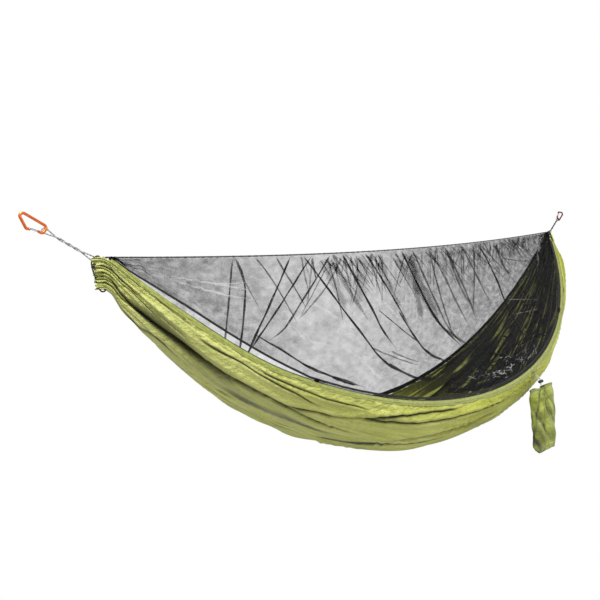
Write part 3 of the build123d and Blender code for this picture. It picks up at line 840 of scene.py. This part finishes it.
def hem(side, name):
    """Rolled and stitched edge of the body, with small puckers."""
    x, along = rim_stations(-HEM_START_X, HEM_END_X, 900)
    path = rim_points(side, x, 0.006)
    path[:, 1] += side * 0.0012 * waves(along, x * 0, 5, (0.05, 0.16), (1, 2), 31 + side)
    path[:, 2] += 0.0010 * waves(along, x * 0, 5, (0.03, 0.12), (1, 2), 41 + side)
    columns = 16
    pucker = 1 + 0.10 * waves(along[:, None], around(columns) * 0.02, 5, (0.010, 0.030), (0.3, 0.9), 17)
    ring = oval(columns, 0.0056 * pucker, 0.0024 * pucker)
    ring = ring * (1 - 0.35 * ease(np.abs(x), 1.25, HEM_START_X))[:, None, None]
    return rim_tube(f"hem_{name}", side, path, ring, HEM_CLOTH, 0.033, [f"rim_hem_{name}"])


body = body_cloth()
hems = [hem(-1, "near"), hem(1, "far")]


# ---------------------------------------------------------------- nets

# The line down the near net, from which it lies in several loose layers whose extra thread also works as painted shade
# over the hollow behind.
LAYERS_X = (-0.50, -0.17, 0.17, 0.47, 0.89, 1.20)
LAYERS_H = (0.98, 0.80, 0.67, 0.56, 0.43, 0.35)

# Folded creases in the nets: side, places along the hammock and down the net (0 ridge, 1 rim), widths,
# and how much of each is thread.
CREASES = [
    (1, [(-0.615, 0.01), (-0.691, 0.332), (-0.770, 0.686), (-0.800, 0.90)], (0.008, 0.011), 0.92),
    (1, [(-0.510, 0.01), (-0.618, 0.274), (-0.740, 0.608), (-0.775, 0.74)], (0.007, 0.009), 0.85),
    (-1, [(-0.418, 0.01), (-0.549, 0.170), (-0.756, 0.492), (-0.895, 0.82)], (0.006, 0.006), 0.72),
    (-1, [(-0.554, 0.01), (-0.531, 0.236), (-0.507, 0.434), (-0.482, 0.649), (-0.470, 0.744), (-0.435, 0.833),
          (-0.333, 0.89)], (0.009, 0.010), 0.95),
    (-1, [(-0.346, 0.01), (-0.360, 0.271), (-0.365, 0.443), (-0.380, 0.569), (-0.363, 0.69)], (0.013, 0.009), 0.95),
    (-1, [(-0.216, 0.01), (-0.211, 0.219), (-0.214, 0.363), (-0.222, 0.56)], (0.012, 0.006), 0.85),
    (-1, [(-0.335, 0.424), (-0.281, 0.548), (-0.226, 0.664)], (0.005, 0.005), 0.80),
    (-1, [(-0.779, 0.01), (-0.758, 0.200), (-0.749, 0.398), (-0.747, 0.568)], (0.008, 0.004), 0.62),
    (-1, [(-0.686, 0.01), (-0.687, 0.113), (-0.676, 0.252), (-0.675, 0.44)], (0.009, 0.005), 0.66),
    (1, [(-0.863, 0.01), (-0.809, 0.170), (-0.806, 0.40), (-0.808, 0.62), (-0.820, 0.90)], (0.009, 0.008), 0.75),
    (1, [(-0.874, 0.02), (-0.875, 0.318), (-0.879, 0.60), (-0.885, 0.86)], (0.007, 0.008), 0.68),
    (-1, [(-0.876, 0.229), (-0.875, 0.385), (-0.871, 0.501)], (0.007, 0.004), 0.45),
    (1, [(-0.425, 0.087), (-0.480, 0.256), (-0.536, 0.425)], (0.007, 0.004), 0.50),
    (1, [(-0.425, 0.02), (-0.36, 0.20), (-0.31, 0.36), (-0.28, 0.46)], (0.010, 0.005), 0.50),
    (-1, [(-0.939, 0.825), (-0.859, 0.869), (-0.800, 0.925), (-0.719, 0.950), (-0.606, 0.975)], (0.006, 0.012), 0.85),
    (-1, [(0.609, 0.02), (0.562, 0.345), (0.497, 0.539), (0.468, 0.669), (0.432, 0.908)], (0.011, 0.012), 0.92),
    (-1, [(0.015, 0.01), (-0.018, 0.239), (-0.052, 0.471), (-0.046, 0.607), (0.002, 0.74)], (0.011, 0.014), 0.85),
    (-1, [(0.09, 0.01), (0.05, 0.239), (0.01, 0.471), (-0.02, 0.607), (0.02, 0.76)], (0.014, 0.010), 0.60),
    (-1, [(-0.03, 0.33), (-0.06, 0.50), (-0.02, 0.66), (0.08, 0.76)], (0.016, 0.012), 0.62),
    (1, [(0.242, 0.06), (0.410, 0.461), (0.549, 0.785)], (0.010, 0.009), 0.60),
    (1, [(0.575, 0.01), (0.641, 0.162), (0.708, 0.754)], (0.014, 0.008), 0.55),
    (-1, [(-0.228, 0.436), (-0.235, 0.62), (-0.208, 0.763), (-0.105, 0.812)], (0.008, 0.014), 0.85),
    (-1, [(-0.443, 0.787), (-0.408, 0.838), (-0.334, 0.898), (-0.226, 0.883)], (0.008, 0.014), 0.80),
    (1, [(0.485, 0.03), (0.503, 0.154), (0.554, 0.348)], (0.012, 0.006), 0.55),
    (1, [(0.790, 0.03), (0.895, 0.295), (1.030, 0.636)], (0.014, 0.012), 0.60),
    (-1, [(0.736, 0.215), (0.832, 0.303), (0.951, 0.399)], (0.007, 0.006), 0.50),
    (-1, [(-0.44, 0.06), (-0.43, 0.28), (-0.42, 0.50)], (0.034, 0.016), 0.34),
    (-1, [(0.03, 0.03), (0.00, 0.26), (-0.03, 0.50)], (0.050, 0.030), 0.36),
    (1, [(0.10, 0.03), (0.17, 0.26), (0.28, 0.55)], (0.050, 0.030), 0.34),
    (-1, [(0.33, 0.02), (0.30, 0.20), (0.25, 0.42), (0.20, 0.60)], (0.016, 0.010), 0.55),
    (-1, [(0.20, 0.02), (0.19, 0.22), (0.15, 0.42), (0.13, 0.62)], (0.018, 0.010), 0.50),
    (-1, [(0.46, 0.02), (0.43, 0.25), (0.38, 0.50)], (0.018, 0.010), 0.50),
    (1, [(0.36, 0.02), (0.50, 0.30), (0.68, 0.62)], (0.016, 0.010), 0.48),
    (-1, [(1.24, 0.20), (1.12, 0.36), (0.95, 0.52), (0.74, 0.80)], (0.016, 0.024), 0.45),
    (-1, [(1.22, 0.55), (0.95, 0.72), (0.60, 0.84), (0.25, 0.90)], (0.020, 0.018), 0.55),
    (-1, [(0.80, 0.90), (0.50, 0.86), (0.20, 0.92), (-0.10, 0.93)], (0.012, 0.014), 0.60),
]
FOLDED = len(CREASES)  # these also lift the net round them, and the rest only lie on it
CREASES += [
    (-1, [(-0.721, 0.955), (-0.690, 0.968), (-0.640, 0.975)], (0.010, 0.006), 0.75),
    (-1, [(-0.363, 0.03), (-0.483, 0.189), (-0.550, 0.278), (-0.665, 0.422), (-0.744, 0.543)], (0.008, 0.005), 0.42),
    (-1, [(-0.274, 0.02), (-0.350, 0.238), (-0.469, 0.406)], (0.008, 0.006), 0.42),
    (-1, [(-0.474, 0.04), (-0.483, 0.310), (-0.502, 0.439)], (0.050, 0.030), 0.24),
    (-1, [(-0.24, 0.03), (-0.33, 0.22), (-0.44, 0.40)], (0.060, 0.040), 0.20),
    (-1, [(-0.135, 0.03), (-0.216, 0.239), (-0.205, 0.436)], (0.040, 0.024), 0.24),
    (-1, [(-0.049, 0.06), (-0.044, 0.376), (-0.056, 0.585)], (0.050, 0.040), 0.26),
    (-1, [(-0.483, 0.685), (-0.388, 0.759), (-0.302, 0.800)], (0.008, 0.006), 0.50),
    (-1, [(-0.392, 0.706), (-0.359, 0.746), (-0.283, 0.782)], (0.010, 0.005), 0.45),
]


def short_wrinkles():
    """Small slanting wrinkles that hang from the ridge binding, and loose crumples low down at the right."""
    rng = np.random.default_rng(7)
    made = []
    for side, count in ((-1, 70), (1, 50)):
        for _ in range(count):
            x = rng.uniform(-0.62, 1.15)
            top, reach = rng.uniform(0.0, 0.06), rng.uniform(0.10, 0.34)
            slant = rng.choice([-1, 1, 1]) * rng.uniform(0.02, 0.30) * reach
            places = [(x, top), (x + 0.55 * slant, top + 0.5 * reach), (x + slant, top + reach)]
            made.append((side, places, (rng.uniform(0.006, 0.016), 0.004), rng.uniform(0.22, 0.55)))
    for _ in range(70):
        x, run = rng.uniform(-0.25, 0.95), rng.uniform(0.05, 0.22)
        low = min(0.97, np.interp(x, LAYERS_X, LAYERS_H) + rng.uniform(0.12, 0.36))
        turn = rng.uniform(-0.12, 0.12)
        places = [(x, low), (x + run / 2, low + turn * 0.3), (x + run, min(0.98, low + turn))]
        made.append((-1, places, (rng.uniform(0.004, 0.012), rng.uniform(0.003, 0.009)), rng.uniform(0.5, 0.9)))
    return made


CREASES += short_wrinkles()

# Pale wrinkles, where a fold of the net catches the light: side, places, widths and thread share.
PALE = [
    (-1, [(-1.181, 0.505), (-1.085, 0.362), (-1.02, 0.335), (-0.927, 0.305), (-0.738, 0.396)], (0.008, 0.008), 0.22),
    (-1, [(-1.167, 0.543), (-1.066, 0.47), (-1.002, 0.443), (-0.948, 0.441)], (0.006, 0.010), 0.24),
    (-1, [(-1.052, 0.349), (-0.977, 0.311), (-0.893, 0.26), (-0.785, 0.239)], (0.007, 0.006), 0.18),
    (-1, [(-1.065, 0.47), (-0.971, 0.435), (-0.883, 0.429), (-0.784, 0.407)], (0.007, 0.006), 0.18),
    (-1, [(-0.79, 0.572), (-0.764, 0.64), (-0.739, 0.706), (-0.649, 0.691)], (0.016, 0.010), 0.17),
    (-1, [(-0.628, 0.38), (-0.572, 0.458), (-0.529, 0.536), (-0.521, 0.584)], (0.012, 0.012), 0.17),
    (-1, [(-0.447, 0.12), (-0.443, 0.184), (-0.443, 0.279)], (0.012, 0.012), 0.22),
    (-1, [(-0.599, 0.695), (-0.558, 0.783), (-0.527, 0.881), (-0.478, 0.928)], (0.016, 0.014), 0.17),
    (-1, [(-0.272, 0.368), (-0.258, 0.439), (-0.244, 0.509)], (0.014, 0.012), 0.18),
    (-1, [(-0.276, 0.757), (-0.204, 0.806), (-0.107, 0.748), (-0.096, 0.782)], (0.006, 0.006), 0.20),
    (-1, [(1.235, 0.20), (1.124, 0.355), (1.002, 0.487), (0.92, 0.569)], (0.014, 0.010), 0.16),
    (-1, [(0.526, 0.556), (0.663, 0.627), (0.778, 0.771)], (0.004, 0.004), 0.13),
    (-1, [(0.499, 0.674), (0.616, 0.723), (0.716, 0.797)], (0.004, 0.004), 0.11),
]


def pale_crumples():
    """Small crumples with a painted highlight, where the near net lies slack on its zip."""
    rng = np.random.default_rng(12)
    made = []
    for x, h, count in ((0.02, 0.93, 14), (0.14, 0.95, 20), (0.22, 0.90, 12), (0.34, 0.94, 14), (0.46, 0.965, 8)):
        for _ in range(count):
            at, low = x + rng.normal(0, 0.055), min(0.975, h + rng.normal(0, 0.020))
            run, turn = rng.uniform(0.012, 0.045) * rng.choice([-1, 1]), rng.uniform(-0.035, 0.035)
            places = [(at, low), (at + run * 0.4, low + turn), (at + run, min(0.98, low + turn * 0.2))]
            made.append((-1, places, (rng.uniform(0.002, 0.005), 0.002), rng.uniform(0.15, 0.55)))
    return made


PALE += pale_crumples()


def net_surface(side, x, h, slack=1.0):
    """A net's place at x along the hammock and share h of the way from ridge to rim, with a share of
    its billows."""
    depth = np.maximum(rim_depth(x, -0.0245) - (open_lift(x) if side < 0 else 0), 0.004)
    top = np.stack([x, 0 * x, ridge_height(x) - 0.0035], -1)
    bottom = np.stack([x, side * depth * math.sin(RIM_TILT), -depth * math.cos(RIM_TILT)], -1)
    place = top + (bottom - top) * h[..., None]
    height = np.linalg.norm(bottom - top, axis=-1)
    down = h * height
    free = ease(h, 0, 0.12) * ease(1 - h, 0, 0.10)
    seed = 50 + side
    fan = x - 0.16 * h * np.sign(x) * np.abs(x)
    billow = 0.0055 * waves(fan, down, 6, (0.14, 0.42), (0.9, 2.4), seed) * free
    billow += 0.0030 * waves(x, down, 6, (0.035, 0.09), (0.35, 1.2), seed + 1) * free
    by_ridge = np.exp(-down / 0.16)
    billow += 0.0028 * by_ridge * ease(h, 0, 0.05) * waves(x, down, 6, (0.016, 0.040), (0.5, 2.0), seed + 2)
    rays = np.sin(h * 34 + 2.2 * side) + 0.7 * np.sin(h * 57 + 1.0)
    billow += 0.0030 * rays * np.exp(-((1.30 - np.abs(x)) / 0.30) ** 2) * free
    near_crease = 0.0
    for crease_side, places, *_ in CREASES[:FOLDED]:
        if crease_side == side:
            at, where = np.array(places).T
            line = np.interp(h, where, at)
            inside = ease(h, where[0] - 0.05, where[0] + 0.05) * (1 - ease(h, where[-1] - 0.1, where[-1] + 0.05))
            near_crease = near_crease + inside * np.exp(-(((x - line) / 0.020) ** 2))
    billow += 0.006 * np.minimum(near_crease, 1.3) * free
    return place + slack * billow[..., None] * rim_normal(side, 1)[0], height


def thread_share(side, x, h):
    """How much of a net is thread: more where it is gathered at the two ends, and where the near net
    lies in several loose layers low down at the right, which also darken, as painted shade, the hollow behind it."""
    from_end = 1.30 - np.abs(x)
    share = 0.25 + 0.04 * ease(-x, 0.6, 0.9) + 0.17 * np.exp(-((from_end / 0.46) ** 2)) * (x < 0)
    share = share + 0.15 * ease(x, -0.35, 0.35) + 0.10 * ease(x, 0.4, 1.2)
    smudges = waves(x - 0.12 * h, h * 0.7, 8, (0.020, 0.075), (0.25, 1.4), 70 + side)
    upper = np.exp(-((h / 0.45) ** 2)) * ease(x, -0.45, 0.25)
    clouds = (0.11 + 0.07 * ease(-x, 0.1, 0.5)) * waves(x, h, 9, (0.04, 0.3), (0.1, 0.5), 75 + side)
    share = share * (1 + 0.22 * smudges * upper + 0.10 * upper + clouds)
    # partly loose layers of net, partly painted shade: more thread darkens the view into the shaded hollow
    if side < 0:
        start = np.interp(x, LAYERS_X, LAYERS_H)
        low = ease(h, start - 0.02, start + 0.03) * ease(x, -0.40, 0.10)
        share = share + low * (0.27 + 0.07 * waves(x, h, 8, (0.02, 0.10), (0.03, 0.16), 90))
    return np.clip(share, 0.05, 0.95)


def crease_fold(side, places, widths, dense):
    """A flat folded pleat that lies on the net along a line: two more layers of netting, densest in
    its middle."""
    at, where = np.array(places).T
    route = spline_line(np.stack([at, where, 0 * at], -1))
    steps = np.linspace(0, 1, 90)
    along = along_lengths(route)
    x = np.interp(steps * along[-1], along, route[:, 0])
    h = np.interp(steps * along[-1], along, route[:, 1])
    path, _ = net_surface(side, x, h, 0.2 if dense > 0.4 else 0.6)
    out = rim_normal(side, len(x))
    tangent = unit(np.gradient(path, axis=0))
    across = unit(np.cross(out, tangent))
    taper = np.minimum(ease(steps, 0, 0.06) + 0.25, 1) * np.minimum(1 - ease(steps, 0.80, 1) + 0.12, 1)
    half = np.interp(steps, (0, 1), widths) * 0.58 * taper * (1 + 0.22 * np.sin(steps * 21 + places[0][0] * 30))
    columns = 10
    points = rings(path + out * 0.0012, across, out, oval(columns, half[:, None], 0.0013))
    soft = 0.12 + 0.88 * np.abs(np.sin(around(columns))) ** (0.6 if dense > 0.7 else 1.4)
    share = dense * soft * (0.35 + 0.65 * taper[:, None])
    return points, grid_faces(len(x), columns, wrap=True), tube_uv(path, columns, 0.02), share.ravel()


def net(side, name):
    """One net with its creases, as one piece."""
    columns, rows = 520, 170
    stations, along = rim_stations(-HEM_START_X, HEM_END_X, columns)
    x, h = np.meshgrid(stations, np.linspace(0, 1, rows), indexing="ij")
    points, height = net_surface(side, x, h)
    uv = np.stack([np.repeat(along[:, None], rows, 1), h * height], -1)
    share = thread_share(side, x, h)
    parts = [(points, grid_faces(columns, rows), uv)]
    values, shine = [share.ravel()], [0 * share.ravel()]
    # the creases of PALE carry the painted highlight
    for glint, folds in ((0, CREASES), (1, PALE)):
        for crease_side, places, widths, dense in folds:
            if crease_side == side:
                *fold, dense_along = crease_fold(side, places, widths, dense)
                parts.append(fold)
                values.append(dense_along)
                shine.append(np.full_like(dense_along, glint))
    points, faces, cloth = join_parts(parts)
    made = piece(f"net_{name}_mesh", points, faces, "hammock", NETTING, cloth,
                 {"thread_share": np.concatenate(values), "shine": np.concatenate(shine)})
    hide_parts(f"net_{name}")
    return made


def strip(side, name, x_range, offsets, lift, wall, material, ripple=0.0, replaces=(), loose=False):
    """A flat sewn strip that follows a rim, with a slight ripple."""
    x, along = rim_stations(*x_range, 760)
    middle, half = sum(offsets) / 2, (offsets[1] - offsets[0]) / 2
    path = rim_points(side, x, middle, lift) + (opened(side, x) if loose else 0)
    path = path + rim_normal(side, len(x)) * (ripple * waves(along, x * 0, 6, (0.03, 0.14), (1, 2), 77))[:, None]
    corners = np.array([(-1, -1), (-0.5, -1.1), (0.5, -1.1), (1, -1), (1, 1), (0.5, 1.1), (-0.5, 1.1), (-1, 1)])
    ring = (corners * np.array([half, wall / 2]))[None]
    return rim_tube(name, side, path, ring, material, 4 * half, replaces)


def zip_coil(name, offset, loose, replaces):
    """Nylon coil of a zip: a fine row of turns along the tape's edge."""
    x, along = rim_stations(-ZIP_END_X, ZIP_END_X, 9000)
    path = rim_points(-1, x, offset) + (opened(-1, x) if loose else 0)
    radius = 0.00115 * (0.80 + 0.20 * np.sin(2 * np.pi * along / COIL_PITCH))[:, None]
    return rim_tube(name, -1, path, oval(6, radius, radius), COIL, 0.007, [replaces])


def ridge_tape():
    """Folded binding over the ridge line, a little puckered by its stitching."""
    x = np.linspace(-1.328, 1.322, 900)
    path = np.stack([x, 0 * x, ridge_height(x)], -1)
    out = repeated([0.0, 1.0, 0.0], len(x))
    up = unit(np.cross(unit(np.gradient(path, axis=0)), out))
    columns = 14
    pucker = 1 + 0.10 * waves(x[:, None], around(columns) * 0.02, 5, (0.010, 0.035), (0.3, 0.9), 91)
    tube("ridge_binding", path, up, out, oval(columns, 0.0029 * pucker, 0.0021 * pucker), "hammock",
         RIDGE_TAPE, 0.026, ["ridge_tape"])


ridge_tape()
net_edge = (ZIP_MIDDLE - 0.0100, ZIP_MIDDLE - 0.00325)
body_edge = (ZIP_MIDDLE + 0.00325, -0.001)
tapes = [
    strip(-1, "zip_tape_upper", (-ZIP_START_X, ZIP_END_X), net_edge, 0, 0.0011, ZIP_TAPE, 0.0005,
          ["zip_tape_net"], loose=True),
    zip_coil("zip_coil_upper", ZIP_MIDDLE - 0.00165, True, "zip_coil_net"),
    strip(-1, "zip_tape_lower", (-ZIP_START_X, ZIP_END_X), body_edge, 0, 0.0011, ZIP_TAPE, 0.0004,
          ["zip_tape_body"]),
    zip_coil("zip_coil_lower", ZIP_MIDDLE + 0.00165, False, "zip_coil_body"),
]
facing = strip(-1, "rim_facing_near", (-ZIP_START_X, 1.336), (-0.0095, 0.004), 0.0014, 0.0009, HEM_CLOTH,
               0.0004)
seam = strip(1, "net_seam_strip", (-ZIP_START_X, ZIP_END_X), (net_edge[0], -0.001), 0, 0.0011, ZIP_TAPE,
             0.0006, ["net_seam_far"])
for side, name, sewn_on in ((-1, "near", [*tapes[:2], facing]), (1, "far", [seam])):
    net(side, name)


# ---------------------------------------------------------------- stuff sack

SACK_MOUTH = np.array([0.331, -0.346, -0.746])
SACK_TILT = math.radians(4.5)
TAB_PIVOT = np.array([0.335, -0.327, -0.696])


def sack_place(points):
    """Points of the upright bag, leant and hung where its mouth is."""
    x, y, z = points[..., 0], points[..., 1], points[..., 2]
    turned = [x, y * math.cos(SACK_TILT) - z * math.sin(SACK_TILT), y * math.sin(SACK_TILT) + z * math.cos(SACK_TILT)]
    return np.stack(turned, -1) + SACK_MOUTH


CINCH_X = -0.012
BASE_X = -0.038
SACK_HEIGHT = 0.268


def sack_creases(x, z, face):
    """Distance from the place where the cord draws the mouth together, the creases that radiate from
    it, and the slanting ones lower down. face is 1 on the bag's one side and -1 on the other."""
    bearing, distance = np.arctan2(x - CINCH_X, -z - CINCH_X), np.hypot(x - CINCH_X, z * 0.8)
    radiating = np.sin(bearing * 13 + 2 * face + 2.5 * np.sin(bearing * 3))
    slanting = np.sin((x * 0.8 + z * 0.6) * 72 + 9 * x + 1.2 * face)
    return distance, radiating, slanting


def corner_lift(x):
    """How much the bag's lower left corner is drawn up."""
    return 0.018 * ease(BASE_X - x, 0.035, 0.075) ** 2


def sack_ring(z, angle):
    """The flat bag's outline at a height, drawn in towards its cinched mouth."""
    heights = (-SACK_HEIGHT, -0.250, -0.210, -0.120, -0.034, -0.010, -0.001)
    middle = np.interp(z, heights, (-0.038, -0.035, -0.028, -0.014, -0.003, 0.0, 0.0))
    half = np.interp(z, heights, (0.076, 0.084, 0.088, 0.092, 0.091, 0.087, 0.086))
    deep = np.interp(z, heights, (0.004, 0.009, 0.013, 0.0135, 0.0125, 0.010, 0.0085))
    c, s = np.cos(angle), np.sin(angle)
    x = middle + half * np.sign(c) * np.abs(c) ** 0.62
    y = deep * np.sign(s) * np.abs(s) ** 0.75
    distance, radiating, slanting = sack_creases(x, z, np.sign(s))
    y = y + 0.0062 * np.exp(-distance / 0.13) * radiating
    y = y + 0.0040 * slanting * ease(-z, 0.02, 0.09) * (1 - ease(-z, 0.20, 0.26))
    y = y + 0.0022 * waves(x, z, 6, (0.04, 0.12), (0.10, 0.30), 61) * ease(-z, 0.0, 0.05)
    z = z + ease(-z, 0.225, SACK_HEIGHT) * corner_lift(x)
    y = y * (1 - 0.55 * np.exp(-(((x - CINCH_X) / 0.030) ** 2)) * ease(z, -0.05, 0.0))
    z = z - 0.007 * np.exp(-(((x - CINCH_X) / 0.024) ** 2)) * ease(z, -0.04, 0.0)
    return np.stack([x, y, z + 0 * x], -1)


def sack():
    """The stuff sack: its bag, the hem round its mouth and the binding of its bottom seam."""
    columns, rows = 180, 150
    z, angle = np.meshgrid(np.linspace(-0.001, -SACK_HEIGHT, rows), around(columns)[0], indexing="ij")
    points = sack_ring(z, angle)
    uv = np.stack([np.repeat(np.linspace(0, 0.38, columns)[None], rows, 0), z], -1)
    x, face = points[..., 0], np.sign(np.sin(angle))
    distance, radiating, slanting = sack_creases(x, z, face)
    # painted shade in the creases that radiate from the cinched mouth, in the slanting ones lower down and down the
    # bag's left side; the last line adds uneven darker patches
    dark = 1.15 * np.clip(1.6 * radiating - 0.7, 0, 1) * np.exp(-distance / 0.14)
    low_down = ease(-z, 0.03, 0.10) * (1 - ease(-z, 0.22, 0.26))
    dark = dark + 0.92 * np.clip(1.4 * slanting - 0.85, 0, 1) * low_down
    dark = dark + 0.45 * ease(-x, 0.02, 0.09) * ease(-z, 0.05, 0.20)
    dark = np.clip(dark + 0.30 * np.clip(waves(x + 0.5 * z, z, 5, (0.03, 0.08), (0.15, 0.4), 63), 0, 1), 0, 1)
    bag = piece("sack_bag", sack_place(points), grid_faces(rows, columns, wrap=True), "sack", SACK_CLOTH,
                uv, {"fold_shade": dark})
    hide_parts("stuff_sack")

    steps, sides = around(240)[0], 12
    mouth = sack_ring(0 * steps - 0.006, steps)
    flat = mouth * np.array([1.012, 1.10, 1.0])
    bunch = 1 + 0.22 * np.sin(steps * 46)[:, None] * np.exp(-((mouth[:, :1] - CINCH_X) / 0.035) ** 2)
    outward = unit(mouth * np.array([0.05, 1.0, 0.0]))
    up = [0.0, 0.0, 1.0]
    points = rings(flat, repeated(up, len(flat)), outward, oval(sides, 0.0050 * bunch, 0.0014 * bunch))
    faces = grid_faces(len(steps) + 1, sides, wrap=True) % (len(steps) * sides)
    lip = piece("sack_mouth_hem", sack_place(points), faces, "sack", SACK_HEM,
                tube_uv(flat, sides, 0.024))
    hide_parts("sack_hem")

    x = np.linspace(-0.110, 0.036, 160)
    height = -0.2685 + 0.0016 * np.cos((x - BASE_X) * 18) + corner_lift(x)
    path = np.stack([x, 0.0006 * np.sin(x * 140), height], -1)
    ring = oval(sides, 0.0030, 0.0026) * (1 + 0.08 * np.sin(x * 900))[:, None, None]
    points = rings(path, repeated(up, len(path)), repeated([0.0, 1.0, 0.0], len(path)), ring)
    seam = piece("sack_bottom_binding", sack_place(points), tube_mesh(points), "sack", SEAM_TAPE,
                 tube_uv(path, sides, 0.018))
    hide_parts("sack_bottom_seam")


def small_loop(name, start, along, side, reach, turn, diameter, body, replaces):
    """A closed loop of thin cord between two things it hangs on."""
    def at(distance, off):
        return start + along * distance + side * off

    route = [at(-turn, 0), at(-turn, turn * 0.8), at(0, turn), at(reach / 2, turn * 0.85), at(reach, turn),
             at(reach + turn, turn * 0.8), at(reach + turn, -turn * 0.8), at(reach, -turn),
             at(reach / 2, -turn * 0.85), at(0, -turn), at(-turn, -turn * 0.8), at(-turn, -0.0002)]
    braid(name, route, diameter, body, WHITE_CORD, [replaces],
          step=0.0003, sides=14)


def sack_hanging():
    lean = math.radians(45)
    down = np.array([0, -math.sin(lean), -math.cos(lean)])
    small_loop("sack_hanging_loop", TAB_PIVOT, down, np.array([0, math.cos(lean), -math.sin(lean)]), 0.022, 0.0036,
               0.0026, "sack_loop", "sack_loop")
    top = TAB_PIVOT + down * 0.0256
    small_loop("sack_closing_cord", top, np.array([0.0, 0, -1]), np.array([1.0, 0, 0]), 0.026, 0.0036,
               0.0024, "sack", "sack_drawcord")


def tab():
    """Folded webbing tab that the sack's small loop hangs in."""
    low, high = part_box("sack_tab")
    low, high = np.array(low) - ROW_SHIFT, np.array(high) - ROW_SHIFT
    middle = (low + high) / 2
    pivot_z = TAB_PIVOT[2]
    t = np.linspace(-1, 1, 26)
    across = middle[0] + 0.0058 * t[:, None]
    front = np.stack([np.full(15, -0.0012), np.linspace(high[2], pivot_z + 0.003, 15)], -1)
    bend = np.linspace(0, np.pi, 11)
    fold = np.stack([-0.0012 * np.cos(bend) - 0.0014 * np.sin(bend),
                     pivot_z + 0.003 - 0.0045 * np.sin(bend)], -1)
    back = front[::-1] * np.array([-1, 1])
    line = np.concatenate([front, fold, back])
    points = np.zeros((len(line), len(t), 3))
    points[..., 0] = across[:, 0][None]
    points[..., 1] = middle[1] + line[:, :1]
    points[..., 2] = line[:, 1:] + 0.0003 * np.sin(t * 9)[None]
    uv = np.stack([np.repeat(along_lengths(np.pad(line, ((0, 0), (0, 1))))[:, None], len(t), 1),
                   np.repeat(t[None] * 0.006, len(line), 0)], -1)
    made = piece("sack_webbing_tab", points, grid_faces(len(line), len(t)), "hammock", WEBBING, uv)
    modifier = made.modifiers.new("thickness", "SOLIDIFY")
    modifier.thickness = 0.0009
    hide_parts("sack_tab")


sack()
sack_hanging()
tab()


# ---------------------------------------------------------------- hardware


def dress(material, *names):
    """Give CAD nodes a material and leave their shapes alone."""
    for name in names:
        for slot in NODES[name].material_slots:
            slot.material = material


dress(anodised("orange_anodised", rgb(238, 118, 44), rgb(246, 166, 110)), "carabiner_body_left")
# the right carabiner is the same orange aluminium as the left one, with shade painted into its colour
dress(anodised("orange_anodised_in_painted_shade", rgb(112, 48, 26), rgb(150, 84, 58)), "carabiner_body_right")
dress(metal("gate_wire_steel", rgb(206, 206, 204), rgb(150, 150, 150), 0.28), "carabiner_gate_left",
      "carabiner_gate_right", "cord_lock_spring")
dress(metal("black_zip_metal", rgb(38, 38, 40), rgb(16, 16, 17), 0.36), "zip_slider_left", "zip_slider_right",
      "zip_pull_left", "zip_pull_right")
dress(plastic("lock_plastic", rgb(30, 30, 31), rgb(48, 48, 50)), "cord_lock_barrel", "cord_lock_button")


# ---------------------------------------------------------------- room and light


WORLD_LIGHT = 0.50


def make_room():
    """A white backdrop, plain light all round, and two lamps."""
    floor_mesh = bpy.data.meshes.new("floor")
    size, back = 14.0, CAD_BOX[0].z - 0.42
    floor_mesh.from_pydata([(-size, -size, back), (size, -size, back), (size, size, back), (-size, size, back)], [],
                           [(0, 1, 2, 3)])
    floor = bpy.data.objects.new("floor", floor_mesh)
    bpy.context.scene.collection.objects.link(floor)
    s = Shader("floor_paint", Roughness=0.9, Specular_IOR_Level=0.0, Emission_Color=(1.0, 1.0, 1.0))
    paint = s.mix(s.noise(s.local(), 1.2, 3.0), rgb(206, 206, 206), rgb(214, 214, 214))
    seen = s.node("ShaderNodeLightPath", out=0)
    s.set(Base_Color=s.mix(seen, paint, (0.0, 0.0, 0.0)), Emission_Strength=s.stretch(seen, 0.0, 1.0, 0.0, 1.0))
    floor_mesh.materials.append(s.material)

    world = bpy.data.worlds.new("studio")
    bpy.context.scene.world = world
    world.use_nodes = True
    tree = world.node_tree
    tree.nodes["Background"].inputs[0].default_value = (1, 1, 1, 1)
    lit = tree.nodes.new("ShaderNodeMapRange")
    lit.inputs[3].default_value, lit.inputs[4].default_value = WORLD_LIGHT, 1.0
    tree.links.new(tree.nodes.new("ShaderNodeLightPath").outputs[0], lit.inputs[0])
    tree.links.new(lit.outputs[0], tree.nodes["Background"].inputs[1])

    def area(name, place, aim, size, power):
        data = bpy.data.lights.new(name, "AREA")
        data.shape = "DISK"
        data.size = size
        data.energy = power
        light = bpy.data.objects.new(name, data)
        bpy.context.scene.collection.objects.link(light)
        light.location = Vector(place) + Vector(ROW_SHIFT)
        light.rotation_mode = "QUATERNION"
        light.rotation_quaternion = (Vector(aim) - Vector(place)).to_track_quat("-Z", "Y")

    area("key", (-2.2, -2.2, 3.0), (-0.3, 0, -0.5), 1.2, 180)
    area("fill", (2.4, -3.0, 0.8), (0.2, 0, -0.6), 2.4, 62)
    bpy.context.scene.view_settings.view_transform = "Standard"
    bpy.context.scene.view_settings.look = "None"


make_room()
